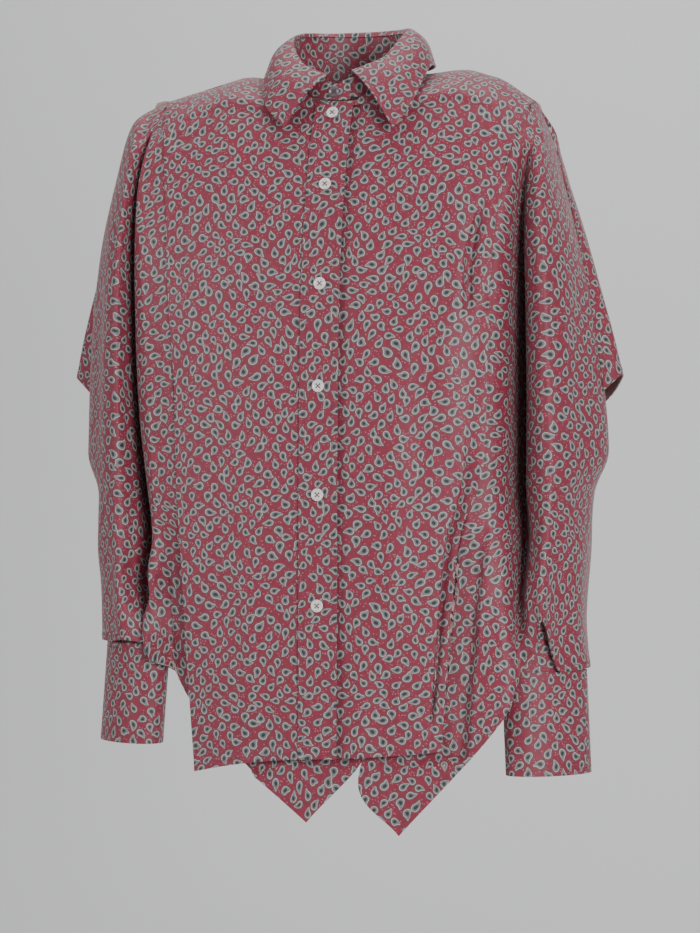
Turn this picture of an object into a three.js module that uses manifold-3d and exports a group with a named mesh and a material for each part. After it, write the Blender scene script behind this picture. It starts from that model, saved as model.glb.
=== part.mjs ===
// A paisley shirt held in the shape of its wearer: two front panels and a back that hang like a tabard,
// sleeves cut as large square cloths that drape over the arms and end in loose corners under the front
// panels, deep cuffs, a turned-down collar on a stand, and a cape across the back.
// Millimetres, +Z up, the front faces -Y and the wearer's left is +X.
// The origin is where the wearer's shoulders carry it: on the centre plane, level with the neck seam.

import * as THREE from 'three';
import { mergeVertices } from 'three/addons/utils/BufferGeometryUtils.js';
import Module from 'manifold-3d';

const wasm = await Module();
wasm.setup();

// Driving sizes
const CLOTH = 1.2;
const BAND = 1.6;
const LAP = 3;
const CAPE_LAP = 7.5;
const CAPE_HUG = 3.6;
const CAPE_SEAT = 2.4;
const SEAM = 0.3;
const FOLD_AT = 0.16;
const NECK_RADIUS = 63.9;
const BUTTON_LAP = 0.35;
const PLACKET_WIDTH = 38;
const OVERLAP = 17;
const BUTTON_RADIUS = 6;
const CUFF_BUTTON_RADIUS = 5.2;
const CUFF_DEPTH = 98;
const LIFT_LEFT = 0.03;
const LIFT_RIGHT = 0.045;
const LEAN_FROM = -320;
const LEAN_FULL = -90;
const ROUND_LEFT = 16;
const ROUND_RIGHT = 12;
const ROUND_FROM = -200;
const ROUND_FULL = -60;

// Materials
const PRINT = new THREE.MeshStandardMaterial({ color: '#8f4a55', roughness: 0.6, metalness: 0 });
const SHELL = new THREE.MeshStandardMaterial({ color: '#d9cdd0', roughness: 0.25, metalness: 0 });

const LEFT = 1;
const RIGHT = -1;

// The front panel of one side, a row for each level from the hem up to the shoulder seam. "in" is the edge
// at the centre front and then round the neck, "out" the long outer edge, "round" how squarely it turns back.
const FRONT_LEFT = [
  { v: 0.00, inX: -17, inY: -128, inZ: -667, outX: 119, outY: -118, outZ: -658, round: 2.4 },
  { v: 0.14, inX: -17, inY: -127, inZ: -570, outX: 125, outY: -115, outZ: -560, round: 2.4 },
  { v: 0.28, inX: -17, inY: -126, inZ: -470, outX: 135, outY: -110, outZ: -455, round: 2.4 },
  { v: 0.40, inX: -17, inY: -125, inZ: -395, outX: 156, outY: -102, outZ: -390, round: 2.6 },
  { v: 0.52, inX: -17, inY: -122, inZ: -300, outX: 159, outY: -99, outZ: -305, round: 2.6 },
  { v: 0.64, inX: -17, inY: -116, inZ: -210, outX: 161, outY: -94, outZ: -215, round: 2.4 },
  { v: 0.73, inX: -17, inY: -102, inZ: -138, outX: 165, outY: -86, outZ: -158, round: 2.2 },
  { v: 0.81, inX: -17, inY: -84, inZ: -82, outX: 172, outY: -70, outZ: -108, round: 1.8 },
  { v: 0.88, inX: -17, inY: -62, inZ: -33, outX: 179, outY: -48, outZ: -72, round: 1.5 },
  { v: 0.895, inX: 18, inY: -61.5, inZ: -30, outX: 180, outY: -43, outZ: -67, round: 1.45 },
  { v: 0.93, inX: 32, inY: -55.5, inZ: -22, outX: 183, outY: -32, outZ: -55, round: 1.3 },
  { v: 0.97, inX: 55, inY: -30, inZ: -8, outX: 186, outY: -16, outZ: -43, round: 1.1 },
  { v: 1.00, inX: 63, inY: -0.35, inZ: 2, outX: 189, outY: -0.35, outZ: -38, round: 1.0 },
];
// On the wearer's right only the outer edge below the chest differs.
const RIGHT_EDGE = [
  { v: 0.00, outX: 130, outY: -104, outZ: -685 },
  { v: 0.14, outX: 137, outY: -104, outZ: -590 },
  { v: 0.28, outX: 144, outY: -103, outZ: -485 },
  { v: 0.40, outX: 150, outY: -101, outZ: -400 },
  { v: 0.52, outX: 153, outY: -99, outZ: -305 },
];
const FRONT_RIGHT = FRONT_LEFT.map((row, i) => ({ ...row, ...(RIGHT_EDGE[i] ?? {}) }));

// Half of the back panel, from the hem up to the shoulder seam, mirrored about the centre back.
const BACK = [
  { v: 0.00, inX: 0, inY: 118, inZ: -675, outX: 142, outY: 100, outZ: -588, round: 2.6 },
  { v: 0.14, inX: 0, inY: 118, inZ: -580, outX: 146, outY: 99, outZ: -510, round: 2.6 },
  { v: 0.28, inX: 0, inY: 117, inZ: -480, outX: 151, outY: 98, outZ: -430, round: 2.6 },
  { v: 0.40, inX: 0, inY: 116, inZ: -390, outX: 155, outY: 97, outZ: -362, round: 2.6 },
  { v: 0.52, inX: 0, inY: 116, inZ: -300, outX: 158, outY: 95, outZ: -290, round: 2.6 },
  { v: 0.64, inX: 0, inY: 117, inZ: -205, outX: 161, outY: 91, outZ: -215, round: 2.4 },
  { v: 0.73, inX: 0, inY: 114, inZ: -130, outX: 165, outY: 84, outZ: -158, round: 2.2 },
  { v: 0.81, inX: 0, inY: 106, inZ: -72, outX: 172, outY: 70, outZ: -108, round: 1.8 },
  { v: 0.88, inX: 0, inY: 90, inZ: -25, outX: 179, outY: 48, outZ: -72, round: 1.6 },
];
// The back's top edge: round the neck as far as its side, then out along the shoulder seam.
const BACK_TOP = { from: 0.88, arc: 1 / 3, neckR: 64.5, neckZ: 9, sideZ: 2, tipX: 189, tipY: 0.35, tipZ: -38 };

// The sleeve cloth of one side, a row for each line across it from the shoulder to its loose lower edge.
// "end" is its edge towards the body, "val" the bottom of the deep fold beside the arm, "gape" half of that
// fold's mouth, "arm" the front of the arm and "out" the outermost line of the sleeve.
const SLEEVE_LEFT = [
  { r: 0.00, endX: 174, endY: -34, endZ: -58, valX: 181.5, valY: -24, valZ: -47.5, gape: 3, armX: 185, armY: -12, armZ: -40.5, outX: 189.5, outY: 0, outZ: -38 },
  { r: 0.08, endX: 174, endY: -60, endZ: -92, valX: 188, valY: -50, valZ: -76, gape: 5, armX: 197, armY: -38, armZ: -66, outX: 203, outY: 0, outZ: -72 },
  { r: 0.17, endX: 166, endY: -80, endZ: -140, valX: 184, valY: -46, valZ: -128, gape: 7, armX: 205, armY: -62, armZ: -114, outX: 216, outY: 0, outZ: -120 },
  { r: 0.28, endX: 160, endY: -91, endZ: -195, valX: 182, valY: -30, valZ: -195, gape: 8, armX: 211, armY: -78, armZ: -182, outX: 232, outY: 0, outZ: -182 },
  { r: 0.40, endX: 156, endY: -96, endZ: -265, valX: 182, valY: -16, valZ: -265, gape: 9, armX: 215, armY: -84, armZ: -250, outX: 245, outY: 0, outZ: -242 },
  { r: 0.53, endX: 153, endY: -98, endZ: -335, valX: 182, valY: -14, valZ: -335, gape: 10, armX: 218, armY: -86, armZ: -322, outX: 255, outY: 0, outZ: -308 },
  { r: 0.64, endX: 148, endY: -101, endZ: -400, valX: 182, valY: -20, valZ: -405, gape: 10, armX: 220, armY: -86, armZ: -390, outX: 260, outY: -2, outZ: -372 },
  { r: 0.73, endX: 116, endY: -112, endZ: -470, valX: 186, valY: -44, valZ: -465, gape: 12, armX: 219, armY: -88, armZ: -435, outX: 246, outY: -10, outZ: -415 },
  { r: 0.83, endX: 78, endY: -119, endZ: -560, valX: 186, valY: -76, valZ: -525, gape: 12, armX: 216, armY: -92, armZ: -480, outX: 243, outY: -20, outZ: -470 },
  { r: 0.92, endX: 38, endY: -121, endZ: -690, valX: 190, valY: -96, valZ: -560, gape: 14, armX: 214, armY: -97, armZ: -515, outX: 240, outY: -30, outZ: -530 },
  { r: 1.00, endX: 78, endY: -121, endZ: -739, valX: 192, valY: -100, valZ: -582, gape: 16, armX: 212, armY: -98, armZ: -534, outX: 246.5, outY: -40, outZ: -582 },
];
// The same for the wearer's right, where the loose corner hangs at the centre.
const RIGHT_SLEEVE_CHANGES = [
  {},
  { valX: 196, valY: -36, gape: 4, armX: 207, outX: 225, outZ: -60 },
  { valX: 203, gape: 4, armX: 214, outX: 243, outZ: -112 },
  { valX: 206, gape: 5, armX: 219, outX: 259, outZ: -174 },
  { valX: 205, gape: 5, armX: 221, outX: 268 },
  { valX: 202, gape: 6, armX: 220, outX: 272 },
  { valX: 195, gape: 8, outX: 273 },
  { endX: 78, endY: -116, endZ: -490, outX: 258 },
  { endX: 8, endY: -121, endZ: -590, valZ: -520, outX: 256, outZ: -465 },
  { endX: -46, endY: -121, endZ: -655, valX: 178, valY: -98, valZ: -550, armX: 212, armY: -99, armZ: -522, outX: 249, outZ: -512 },
  { endX: 13, endY: -121, endZ: -729, valX: 166, valY: -101, valZ: -562, armX: 206, armY: -101, armZ: -558, outX: 245, outZ: -561 },
];
const SLEEVE_RIGHT = SLEEVE_LEFT.map((row, i) => ({ ...row, ...RIGHT_SLEEVE_CHANGES[i] }));

// Cuffs: centre at the top and bottom edge, half widths of the flattened ring and how far it is turned.
const CUFF = {
  [LEFT]: { topX: 207, topY: -58, topZ: -584, lowX: 212, lowY: -62 },
  [RIGHT]: { topX: 202, topY: -60, topZ: -562, lowX: 208, lowY: -64 },
};
const ARM_X = 214;
const SHOULDER_X = 150;
const TUCK_X = 132;
const TUCK_DROP = 10;
const LOWER_FROM = 16 / 18;
const LOWER_WRAP = THREE.MathUtils.degToRad(140);
const CUFF_LONG = 46;
const CUFF_SHORT = 25;
const CUFF_BUTTON_AT = THREE.MathUtils.degToRad(-150);
const CUFF_TURN = THREE.MathUtils.degToRad(45);

// The collar leaf, a row for each rib from the wearer's right front edge (-1) round the back to the left (1).
const COLLAR = [
  { w: -1.00, foldX: -8, foldY: -62.5, foldZ: -14, edgeX: -45, edgeY: -84, edgeZ: -58 },
  { w: -0.78, foldX: -36, foldY: -50, foldZ: 8, edgeX: -70, edgeY: -64, edgeZ: -31 },
  { w: -0.50, foldX: -58, foldY: -2, foldZ: 42, edgeX: -83, edgeY: -8, edgeZ: 5 },
  { w: -0.25, foldX: -44, foldY: 46, foldZ: 52, edgeX: -66, edgeY: 66, edgeZ: 12 },
  { w: 0.00, foldX: 1, foldY: 64, foldZ: 55, edgeX: 0, edgeY: 92, edgeZ: 14 },
  { w: 0.25, foldX: 46, foldY: 46, foldZ: 54, edgeX: 68, edgeY: 66, edgeZ: 15 },
  { w: 0.50, foldX: 60, foldY: -2, foldZ: 45, edgeX: 86, edgeY: -8, edgeZ: 9 },
  { w: 0.78, foldX: 42, foldY: -50, foldZ: 4, edgeX: 80, edgeY: -62, edgeZ: -30 },
  { w: 1.00, foldX: 18, foldY: -62, foldZ: -22, edgeX: 65, edgeY: -90, edgeZ: -62 },
];

// The collar stand: lower and upper edge by angle from the centre front (0) to the centre back (180).
const STAND = [
  { deg: 0, lowR: 62, lowZ: -28.5, topR: 59, topZ: -14 },
  { deg: 45, lowR: 62, lowZ: -20, topR: 58, topZ: 6 },
  { deg: 90, lowR: 62, lowZ: 1.6, topR: 57, topZ: 36 },
  { deg: 135, lowR: 62, lowZ: 5.2, topR: 58, topZ: 46 },
  { deg: 180, lowR: 62, lowZ: 8.4, topR: 60, topZ: 49 },
];

// The cape, a row for each rib from the centre back (0) to the front edge on the arm (1): where it leaves
// the neck or shoulder seam, how it sets off, and where its lower edge hangs.
const CAPE = [
  { w: 0.00, topX: 0, topY: 77, topZ: 6, offX: 0, offY: 46, offZ: -10, hemX: 0, hemY: 128, hemZ: -455, flare: 0 },
  { w: 0.30, topX: 44, topY: 56, topZ: 2, offX: 16, offY: 56, offZ: -6, hemX: 112, hemY: 128, hemZ: -405, flare: 0 },
  { w: 0.52, topX: 88, topY: 16, topZ: -3, offX: 34, offY: 80, offZ: -4, hemX: 200, hemY: 116, hemZ: -352, flare: 4 },
  { w: 0.75, topX: 135, topY: 4, topZ: -18.4, offX: 72, offY: 58, offZ: -14, hemX: 277, hemY: 78, hemZ: -318, flare: 12 },
  { w: 0.90, topX: 172, topY: 2.6, topZ: -30.4, offX: 66, offY: 26, offZ: -16, hemX: 295, hemY: 20, hemZ: -296, flare: 20 },
  { w: 1.00, topX: 203, topY: 3, topZ: -37, offX: 30, offY: 4, offZ: -66, hemX: 276, hemY: 4, hemZ: -312, flare: 14 },
];
// On the wearer's left it falls more steeply from the shoulder.
const CAPE_LEFT_CHANGES = [
  {}, {}, {},
  { offX: 62, hemX: 250, flare: 16 },
  { offX: 36, offZ: -22, hemX: 272, flare: 26 },
  { topX: 197, offX: 16, offZ: -70, hemX: 256, hemY: -8, hemZ: -314, flare: 18 },
];
const CAPE_LEFT = CAPE.map((row, i) => ({ ...row, ...CAPE_LEFT_CHANGES[i] }));

// Buttons down the placket: height of each centre and how far its back stands off the band.
const STAND_BUTTON_Z = -21.5;
const PLACKET_BUTTONS = [
  { z: -44, lift: 0.9 },
  { z: -116, lift: 0.4 },
  { z: -213, lift: 0.35 },
  { z: -311, lift: 0.35 },
  { z: -415, lift: 0.35 },
  { z: -521, lift: 0.35 },
];

const lerp = THREE.MathUtils.lerp;
const smooth = THREE.MathUtils.smoothstep;

// Every column of a table at one place between its rows, on smooth curves that never overshoot.
function rowAt(rows, key, at) {
  const n = rows.length;
  let i = 0;
  while (i < n - 2 && at > rows[i + 1][key]) {
    i += 1;
  }
  const width = rows[i + 1][key] - rows[i][key];
  const t = Math.min(Math.max((at - rows[i][key]) / width, 0), 1);
  const found = {};
  for (const name of Object.keys(rows[0])) {
    const slope = (k) => {
      if (k <= 0 || k >= n - 1) {
        const a = Math.min(Math.max(k, 0), n - 2);
        return (rows[a + 1][name] - rows[a][name]) / (rows[a + 1][key] - rows[a][key]);
      }
      const before = (rows[k][name] - rows[k - 1][name]) / (rows[k][key] - rows[k - 1][key]);
      const after = (rows[k + 1][name] - rows[k][name]) / (rows[k + 1][key] - rows[k][key]);
      return before * after <= 0 ? 0 : (2 * before * after) / (before + after);
    };
    const a = rows[i][name];
    const b = rows[i + 1][name];
    const t2 = t * t;
    const t3 = t2 * t;
    found[name] = a * (2 * t3 - 3 * t2 + 1) + b * (3 * t2 - 2 * t3)
      + width * (slope(i) * (t3 - 2 * t2 + t) + slope(i + 1) * (t3 - t2));
  }
  return found;
}

// The wearer's right shoulder is carried a little higher than the left, and both are rounded.
function lean(p) {
  const away = Math.abs(p.x);
  const lift = (p.x > 0 ? LIFT_LEFT : LIFT_RIGHT) * away * smooth(p.z, LEAN_FROM, LEAN_FULL);
  const rise = p.x > 0
    ? ROUND_LEFT * smooth(away, 66, 125) * (1 - smooth(away, 145, 205))
    : ROUND_RIGHT * smooth(away, 70, 115) * (1 - smooth(away, 225, 262));
  p.z += lift + rise * smooth(p.z, ROUND_FROM, ROUND_FULL);
  return p;
}

// A smooth curve through a few points that stand at known places along it.
function throughPoints(stops, at) {
  const rows = stops.map(([s, p]) => ({ s, x: p.x, y: p.y, z: p.z }));
  const n = rows.length;
  let i = 0;
  while (i < n - 2 && at > rows[i + 1].s) {
    i += 1;
  }
  const width = rows[i + 1].s - rows[i].s;
  const t = (at - rows[i].s) / width;
  const t2 = t * t;
  const t3 = t2 * t;
  const value = (axis) => {
    const slope = (k) => {
      const a = Math.max(k - 1, 0);
      const b = Math.min(k + 1, n - 1);
      return (rows[b][axis] - rows[a][axis]) / (rows[b].s - rows[a].s);
    };
    return rows[i][axis] * (2 * t3 - 3 * t2 + 1) + rows[i + 1][axis] * (3 * t2 - 2 * t3)
      + width * (slope(i) * (t3 - 2 * t2 + t) + slope(i + 1) * (t3 - t2));
  };
  return new THREE.Vector3(value('x'), value('y'), value('z'));
}

// A wall of cloth: a grid of points on its middle surface, moved half its thickness to each side.
function wall(name, point, us, vs, thickness, material, closed = false) {
  const step = 1e-3;
  const rows = vs.length;
  const columns = us.length;
  const outer = [];
  const inner = [];
  for (const v of vs) {
    for (const u of us) {
      const back = 1 - 2 * (v > 0.5);
      const side = closed ? 1 : 1 - 2 * (u > (us[0] + us[columns - 1]) / 2);
      const middle = point(u, v);
      const along = point(u + side * step, v).sub(middle).multiplyScalar(side);
      const down = point(u, v + back * step).sub(middle).multiplyScalar(back);
      const normal = along.cross(down).normalize();
      outer.push(middle.clone().addScaledVector(normal, thickness / 2));
      inner.push(middle.clone().addScaledVector(normal, -thickness / 2));
    }
  }
  const points = [...outer, ...inner];
  const faces = [];
  const at = (layer, r, c) => layer * rows * columns + r * columns + (c % columns);
  const quad = (a, b, c, d) => faces.push(a, b, c, a, c, d);
  const spans = closed ? columns : columns - 1;
  for (let r = 0; r < rows - 1; r += 1) {
    for (let c = 0; c < spans; c += 1) {
      quad(at(0, r, c), at(0, r, c + 1), at(0, r + 1, c + 1), at(0, r + 1, c));
      quad(at(1, r, c), at(1, r + 1, c), at(1, r + 1, c + 1), at(1, r, c + 1));
    }
  }
  for (let c = 0; c < spans; c += 1) {
    quad(at(0, 0, c), at(1, 0, c), at(1, 0, c + 1), at(0, 0, c + 1));
    quad(at(0, rows - 1, c), at(0, rows - 1, c + 1), at(1, rows - 1, c + 1), at(1, rows - 1, c));
  }
  if (!closed) {
    const last = columns - 1;
    for (let r = 0; r < rows - 1; r += 1) {
      quad(at(0, r, 0), at(0, r + 1, 0), at(1, r + 1, 0), at(1, r, 0));
      quad(at(0, r, last), at(1, r, last), at(1, r + 1, last), at(0, r + 1, last));
    }
  }
  let volume = 0;
  for (let i = 0; i < faces.length; i += 3) {
    const [a, b, c] = [points[faces[i]], points[faces[i + 1]], points[faces[i + 2]]];
    volume += a.dot(b.clone().cross(c));
  }
  if (volume < 0) {
    faces.reverse();
  }
  const geometry = new THREE.BufferGeometry();
  geometry.setAttribute('position', new THREE.Float32BufferAttribute(points.flatMap((p) => [p.x, p.y, p.z]), 3));
  geometry.setIndex(faces);
  return named(name, geometry, material);
}

function named(name, geometry, material) {
  const mesh = new THREE.Mesh(geometry, material);
  mesh.name = name;
  return mesh;
}

// Evenly spaced values from one end to the other, both ends included.
function spread(from, to, count) {
  return Array.from({ length: count + 1 }, (_, i) => from + ((to - from) * i) / count);
}

// A point of a front or back panel.
function panelPoint(rows, side, u, v) {
  const row = rowAt(rows, 'v', v);
  const reach = Math.max(1, NECK_RADIUS / Math.hypot(row.inX, row.inY));
  const along = Math.max(u, 0);
  const x = lerp(row.inX * reach, row.outX, u);
  const y = lerp(row.inY * reach, row.outY, along ** row.round);
  const z = lerp(row.inZ, row.outZ, along ** lerp(2, 1, smooth(v, 0.88, 0.97)));
  return lean(new THREE.Vector3(side * x, y, z));
}

// The direction square to a surface at one of its points, towards the outside of the shirt.
function outward(point, u, v) {
  const step = 1e-3;
  const a = u > 0.5 ? -step : step;
  const b = v > 0.5 ? -step : step;
  const middle = point(u, v);
  const across = point(u + a, v).sub(middle).multiplyScalar(Math.sign(a));
  const up = point(u, v + b).sub(middle).multiplyScalar(Math.sign(b));
  const normal = across.cross(up).normalize();
  const away = new THREE.Vector3(middle.x, middle.y * 2, middle.z + 300);
  return normal.dot(away) < 0 ? normal.negate() : normal;
}

function movedOut(point, u, v, distance) {
  return point(u, v).addScaledVector(outward(point, u, v), distance);
}

// A panel as points with their outward directions, for cloth that has to lie clear of it.
function guide(point, us, vs, centreX = 0, below = 0) {
  const found = [];
  for (const v of vs) {
    for (const u of us) {
      const p = point(u, v);
      const n = outward(point, u, v);
      if (centreX !== 0 && n.x * (p.x - centreX) + n.y * p.y < 0) {
        n.negate();
      }
      found.push({ p, n });
    }
  }
  for (let drop = 10; drop <= below; drop += 10) {
    for (const u of us) {
      const p = point(u, vs[0]);
      found.push({ p: p.clone().setZ(p.z - drop), n: outward(point, u, vs[0]) });
    }
  }
  return found;
}

// Moves a point off a panel, to lie at least "distance" outside it (side 1) or inside it (side -1).
function keepClear(p, guides, distance, side) {
  for (const found of guides) {
    let best = found[0];
    let least = Infinity;
    for (const spot of found) {
      const d = spot.p.distanceToSquared(p);
      if (d < least) {
        least = d;
        best = spot;
      }
    }
    const gap = p.clone().sub(best.p);
    const off = gap.dot(best.n) * side;
    const beside = Math.sqrt(Math.max(gap.lengthSq() - off * off, 0));
    if (off < distance && beside < 14) {
      p.addScaledVector(best.n, side * (distance - off) * (1 - smooth(beside, 7, 14)));
    }
  }
  return p;
}

// Sets a point down on a panel, with its middle "distance" above it.
function seat(p, guides, distance) {
  const spots = guides.flat();
  const near = spots.reduce((a, b) => (b.p.distanceToSquared(p) < a.p.distanceToSquared(p) ? b : a));
  return p.addScaledVector(near.n, distance - p.clone().sub(near.p).dot(near.n));
}

// The left front passes under the right one at the centre.
function frontLeftPoint(u, v) {
  const surface = (a, b) => panelPoint(FRONT_LEFT, LEFT, a, b);
  const x = surface(u, v).x;
  return movedOut(surface, u, v, -LAP * (1 - smooth(x, OVERLAP, OVERLAP * 2.4)));
}

function frontRightPoint(u, v) {
  return panelPoint(FRONT_RIGHT, RIGHT, u, v);
}

// The back panel runs from one outer edge through the centre back to the other.
function backPoint(u, v) {
  const side = Math.sign(u) || 1;
  const across = Math.abs(u);
  const start = panelPoint(BACK, side, across, Math.min(v, BACK_TOP.from));
  if (v <= BACK_TOP.from) {
    return start;
  }
  const { arc, neckR, neckZ, sideZ, tipX, tipY, tipZ } = BACK_TOP;
  const turn = (Math.PI / 2) * Math.min(across / arc, 1);
  const out = Math.max(across - arc, 0) / (1 - arc);
  const top = lean(new THREE.Vector3(
    side * lerp(neckR * Math.sin(turn), tipX, out),
    Math.max(neckR * Math.cos(turn), tipY),
    lerp(lerp(neckZ, sideZ, turn / (Math.PI / 2)), tipZ, out),
  ));
  const knee = new THREE.Vector3(
    lerp(start.x, top.x, 0.5), lerp(start.y, top.y, 0.45), lerp(start.z, top.z, 0.85),
  );
  return new THREE.QuadraticBezierCurve3(start, knee, top).getPoint((v - BACK_TOP.from) / (1 - BACK_TOP.from));
}

// The placket is a band on the right front, made from its points moved out.
function placketPoint(u, v) {
  const x = lerp(-PLACKET_WIDTH / 2, PLACKET_WIDTH / 2, u);
  const row = rowAt(FRONT_RIGHT, 'v', v);
  const across = (-x - row.inX) / (row.outX - row.inX);
  return movedOut(frontRightPoint, across, v, (CLOTH + BAND) / 2 + BUTTON_LAP);
}

// The sleeve cloth: s runs from its front inner edge (-1) over the outer line (0) to its back inner edge (1).
function sleeveFree(side, s, r) {
  const row = rowAt(side === LEFT ? SLEEVE_LEFT : SLEEVE_RIGHT, 'r', r);
  const turned = (x, y, z) => new THREE.Vector3(x, s > 0 ? lerp(-y, -y * 0.96, 0.5) : y, z);
  const end = s > 0
    ? turned(Math.max(row.endX, TUCK_X), row.endY, Math.max(row.endZ, row.valZ - TUCK_DROP))
    : turned(row.endX, row.endY, row.endZ);
  const lip = turned(row.valX - row.gape, row.endY + (row.valY - row.endY) * 0.28, lerp(row.endZ, row.valZ, 0.7));
  const valley = turned(row.valX, row.valY, row.valZ);
  const cheek = turned(row.valX + row.gape, row.armY + (row.valY - row.armY) * 0.3, lerp(row.valZ, row.armZ, 0.4));
  const arm = turned(row.armX, row.armY, row.armZ);
  const out = new THREE.Vector3(row.outX, row.outY, row.outZ);
  const far = turned(row.armX, row.armY, row.armZ);
  far.y = 2 * row.outY - far.y;
  const stops = [[-1, end], [-0.74, lip], [-0.62, valley], [-0.5, cheek], [-0.32, arm], [0, out], [0.32, far]];
  const p = throughPoints(stops, -Math.abs(s));
  const beside = smooth(-Math.abs(s), -0.32, -0.2) - smooth(-Math.abs(s), -0.32, 0);
  p.z += (row.outZ - row.armZ) * beside * smooth(r, 0.85, 1);
  p.x *= side;
  return lean(p);
}

function sleevePoint(side, s, r) {
  const guides = s < 0 ? FRONT_GUIDES : BACK_GUIDES;
  return keepClear(sleeveFree(side, s, r), guides, LAP, -1);
}

// The ring of a cuff at one height: angle 0 faces outwards and 90 degrees faces the front.
function cuffRing(side, angle, down, grow = 0) {
  const cuff = CUFF[side];
  const long = CUFF_LONG + grow;
  const short = CUFF_SHORT + grow;
  const a = angle + CUFF_TURN;
  const alongX = long * Math.cos(a) * Math.cos(CUFF_TURN) + short * Math.sin(a) * Math.sin(CUFF_TURN);
  const alongY = long * Math.cos(a) * Math.sin(CUFF_TURN) - short * Math.sin(a) * Math.cos(CUFF_TURN);
  return new THREE.Vector3(
    side * (lerp(cuff.topX, cuff.lowX, down) + alongX),
    lerp(cuff.topY, cuff.lowY, down) + alongY,
    cuff.topZ - down * CUFF_DEPTH,
  );
}

// The lower sleeve: its top lies inside the sleeve cloth and its lower end inside the cuff.
function lowerSleevePoint(side, angle, v) {
  const turn = Math.atan2(Math.sin(angle), Math.cos(angle));
  const inside = CLOTH + SEAM * 9;
  const ring = (a) => {
    const s = (-0.5 * a) / LOWER_WRAP;
    const surface = (t, r) => sleevePoint(side, t, r);
    const p = surface(s, LOWER_FROM);
    const n = outward(surface, s, LOWER_FROM);
    const facing = Math.sign(n.x * (p.x - side * ARM_X) + n.y * p.y);
    return p.addScaledVector(n, -inside * facing);
  };
  let upper;
  if (Math.abs(turn) <= LOWER_WRAP) {
    upper = ring(turn);
  } else {
    const part = (Math.abs(turn) - LOWER_WRAP) / (Math.PI - LOWER_WRAP) / 2;
    upper = ring(LOWER_WRAP * Math.sign(turn)).lerp(ring(-LOWER_WRAP * Math.sign(turn)), part);
  }
  const lower = cuffRing(side, angle, 0.1 * Math.max(0, 2 * v - 1), -(CLOTH + BAND) / 2 - SEAM);
  const above = CUFF[side].topZ + 4;
  const blend = smooth(v, 0, 0.5);
  const z = v < 0.5 ? lerp(upper.z, above, v * 2) : lower.z;
  const p = new THREE.Vector3(lerp(upper.x, lower.x, blend), lerp(upper.y, lower.y, blend), z);
  return v < 0.004 || v > 0.4 ? p : keepClear(p, LOW_GUIDES[side], inside + 5, -1);
}

// The collar leaf rises from the stand's top edge, rolls over its fold and falls to its outer edge.
function collarPoint(w, v) {
  const row = rowAt(COLLAR, 'w', w);
  const fold = new THREE.Vector3(row.foldX, row.foldY, row.foldZ);
  const edge = new THREE.Vector3(row.edgeX, row.edgeY, row.edgeZ);
  const start = standPoint(Math.atan2(fold.x, fold.y) / Math.PI, 1);
  start.z += BAND / 2 + SEAM * 2;
  fold.z = Math.max(fold.z, start.z + 3.5);
  const middle = fold.clone().lerp(edge, 0.45);
  middle.addScaledVector(new THREE.Vector3(fold.x, fold.y, 0).normalize(), 5);
  middle.z += 4;
  return throughPoints([[0, start], [FOLD_AT, fold], [0.55, middle], [1, edge]], v);
}

// The stand's ends overlap at the centre front, the right one outside.
function standPoint(w, v) {
  const deg = 180 - 180 * Math.abs(w);
  const row = rowAt(STAND, 'deg', Math.max(deg, 0));
  const radius = lerp(row.lowR, row.topR, v) - LAP * smooth(w, 0.78, 0.95);
  const angle = Math.PI * w;
  const x = radius * Math.sin(angle);
  const y = radius * Math.cos(angle);
  return lean(new THREE.Vector3(x, y, lerp(row.lowZ, row.topZ, v)));
}

function capePoint(w, v) {
  const side = Math.sign(w) || 1;
  const row = rowAt(side === LEFT ? CAPE_LEFT : CAPE, 'w', Math.abs(w));
  const top = new THREE.Vector3(row.topX, row.topY, row.topZ);
  const off = new THREE.Vector3(row.offX, row.offY, row.offZ).add(top);
  const hem = new THREE.Vector3(row.hemX, row.hemY, row.hemZ);
  const hang = hem.clone().add(new THREE.Vector3(-row.flare, 0, (row.topZ - row.hemZ) * 0.42));
  const p = new THREE.CubicBezierCurve3(top, off, hang, hem).getPoint(v);
  p.x *= side;
  lean(p);
  if (v < 0.004 && Math.abs(w) < 0.86) {
    return seat(p, BACK_GUIDES, CAPE_SEAT);
  }
  const hug = smooth(Math.abs(w), 0.8, 1);
  const clear = lerp(lerp(CAPE_SEAT, CAPE_HUG, hug), lerp(CAPE_LAP, CAPE_HUG, hug), smooth(v, 0, lerp(0.05, 0.3, hug)));
  for (let i = 0; i < 3; i += 1) {
    keepClear(p, SLEEVE_GUIDES, clear, 1);
    keepClear(p, BACK_GUIDES, clear, 1);
  }
  return p;
}

// A sewn button with a raised rim and four holes, its back on the cloth and its face along an outward line.
function button(name, radius, place, outward) {
  const thick = 2.2;
  const profile = [
    [0, 0], [radius * 0.8, 0], [radius, 0.8], [radius, 1.7], [radius * 0.86, thick], [radius * 0.64, 1.5], [0, 1.5],
  ].map(([x, y]) => new THREE.Vector2(x, y));
  const body = solid(new THREE.LatheGeometry(profile, 12));
  const holeAt = radius * 0.27;
  let cut = body;
  for (const [x, z] of [[1, 1], [1, -1], [-1, 1], [-1, -1]]) {
    const hole = new THREE.CylinderGeometry(radius * 0.13, radius * 0.13, thick * 4, 6);
    hole.translate(x * holeAt, 0, z * holeAt);
    cut = cut.subtract(solid(hole));
  }
  const geometry = meshOf(cut);
  const turn = new THREE.Quaternion().setFromUnitVectors(new THREE.Vector3(0, 1, 0), outward.clone().normalize());
  const mesh = named(name, geometry, SHELL);
  mesh.quaternion.copy(turn);
  mesh.position.copy(place);
  return mesh;
}

function solid(geometry) {
  geometry.deleteAttribute('normal');
  geometry.deleteAttribute('uv');
  const merged = mergeVertices(geometry, 1e-4);
  return new wasm.Manifold(new wasm.Mesh({
    numProp: 3,
    vertProperties: new Float32Array(merged.attributes.position.array),
    triVerts: new Uint32Array(merged.index.array),
  }));
}

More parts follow.
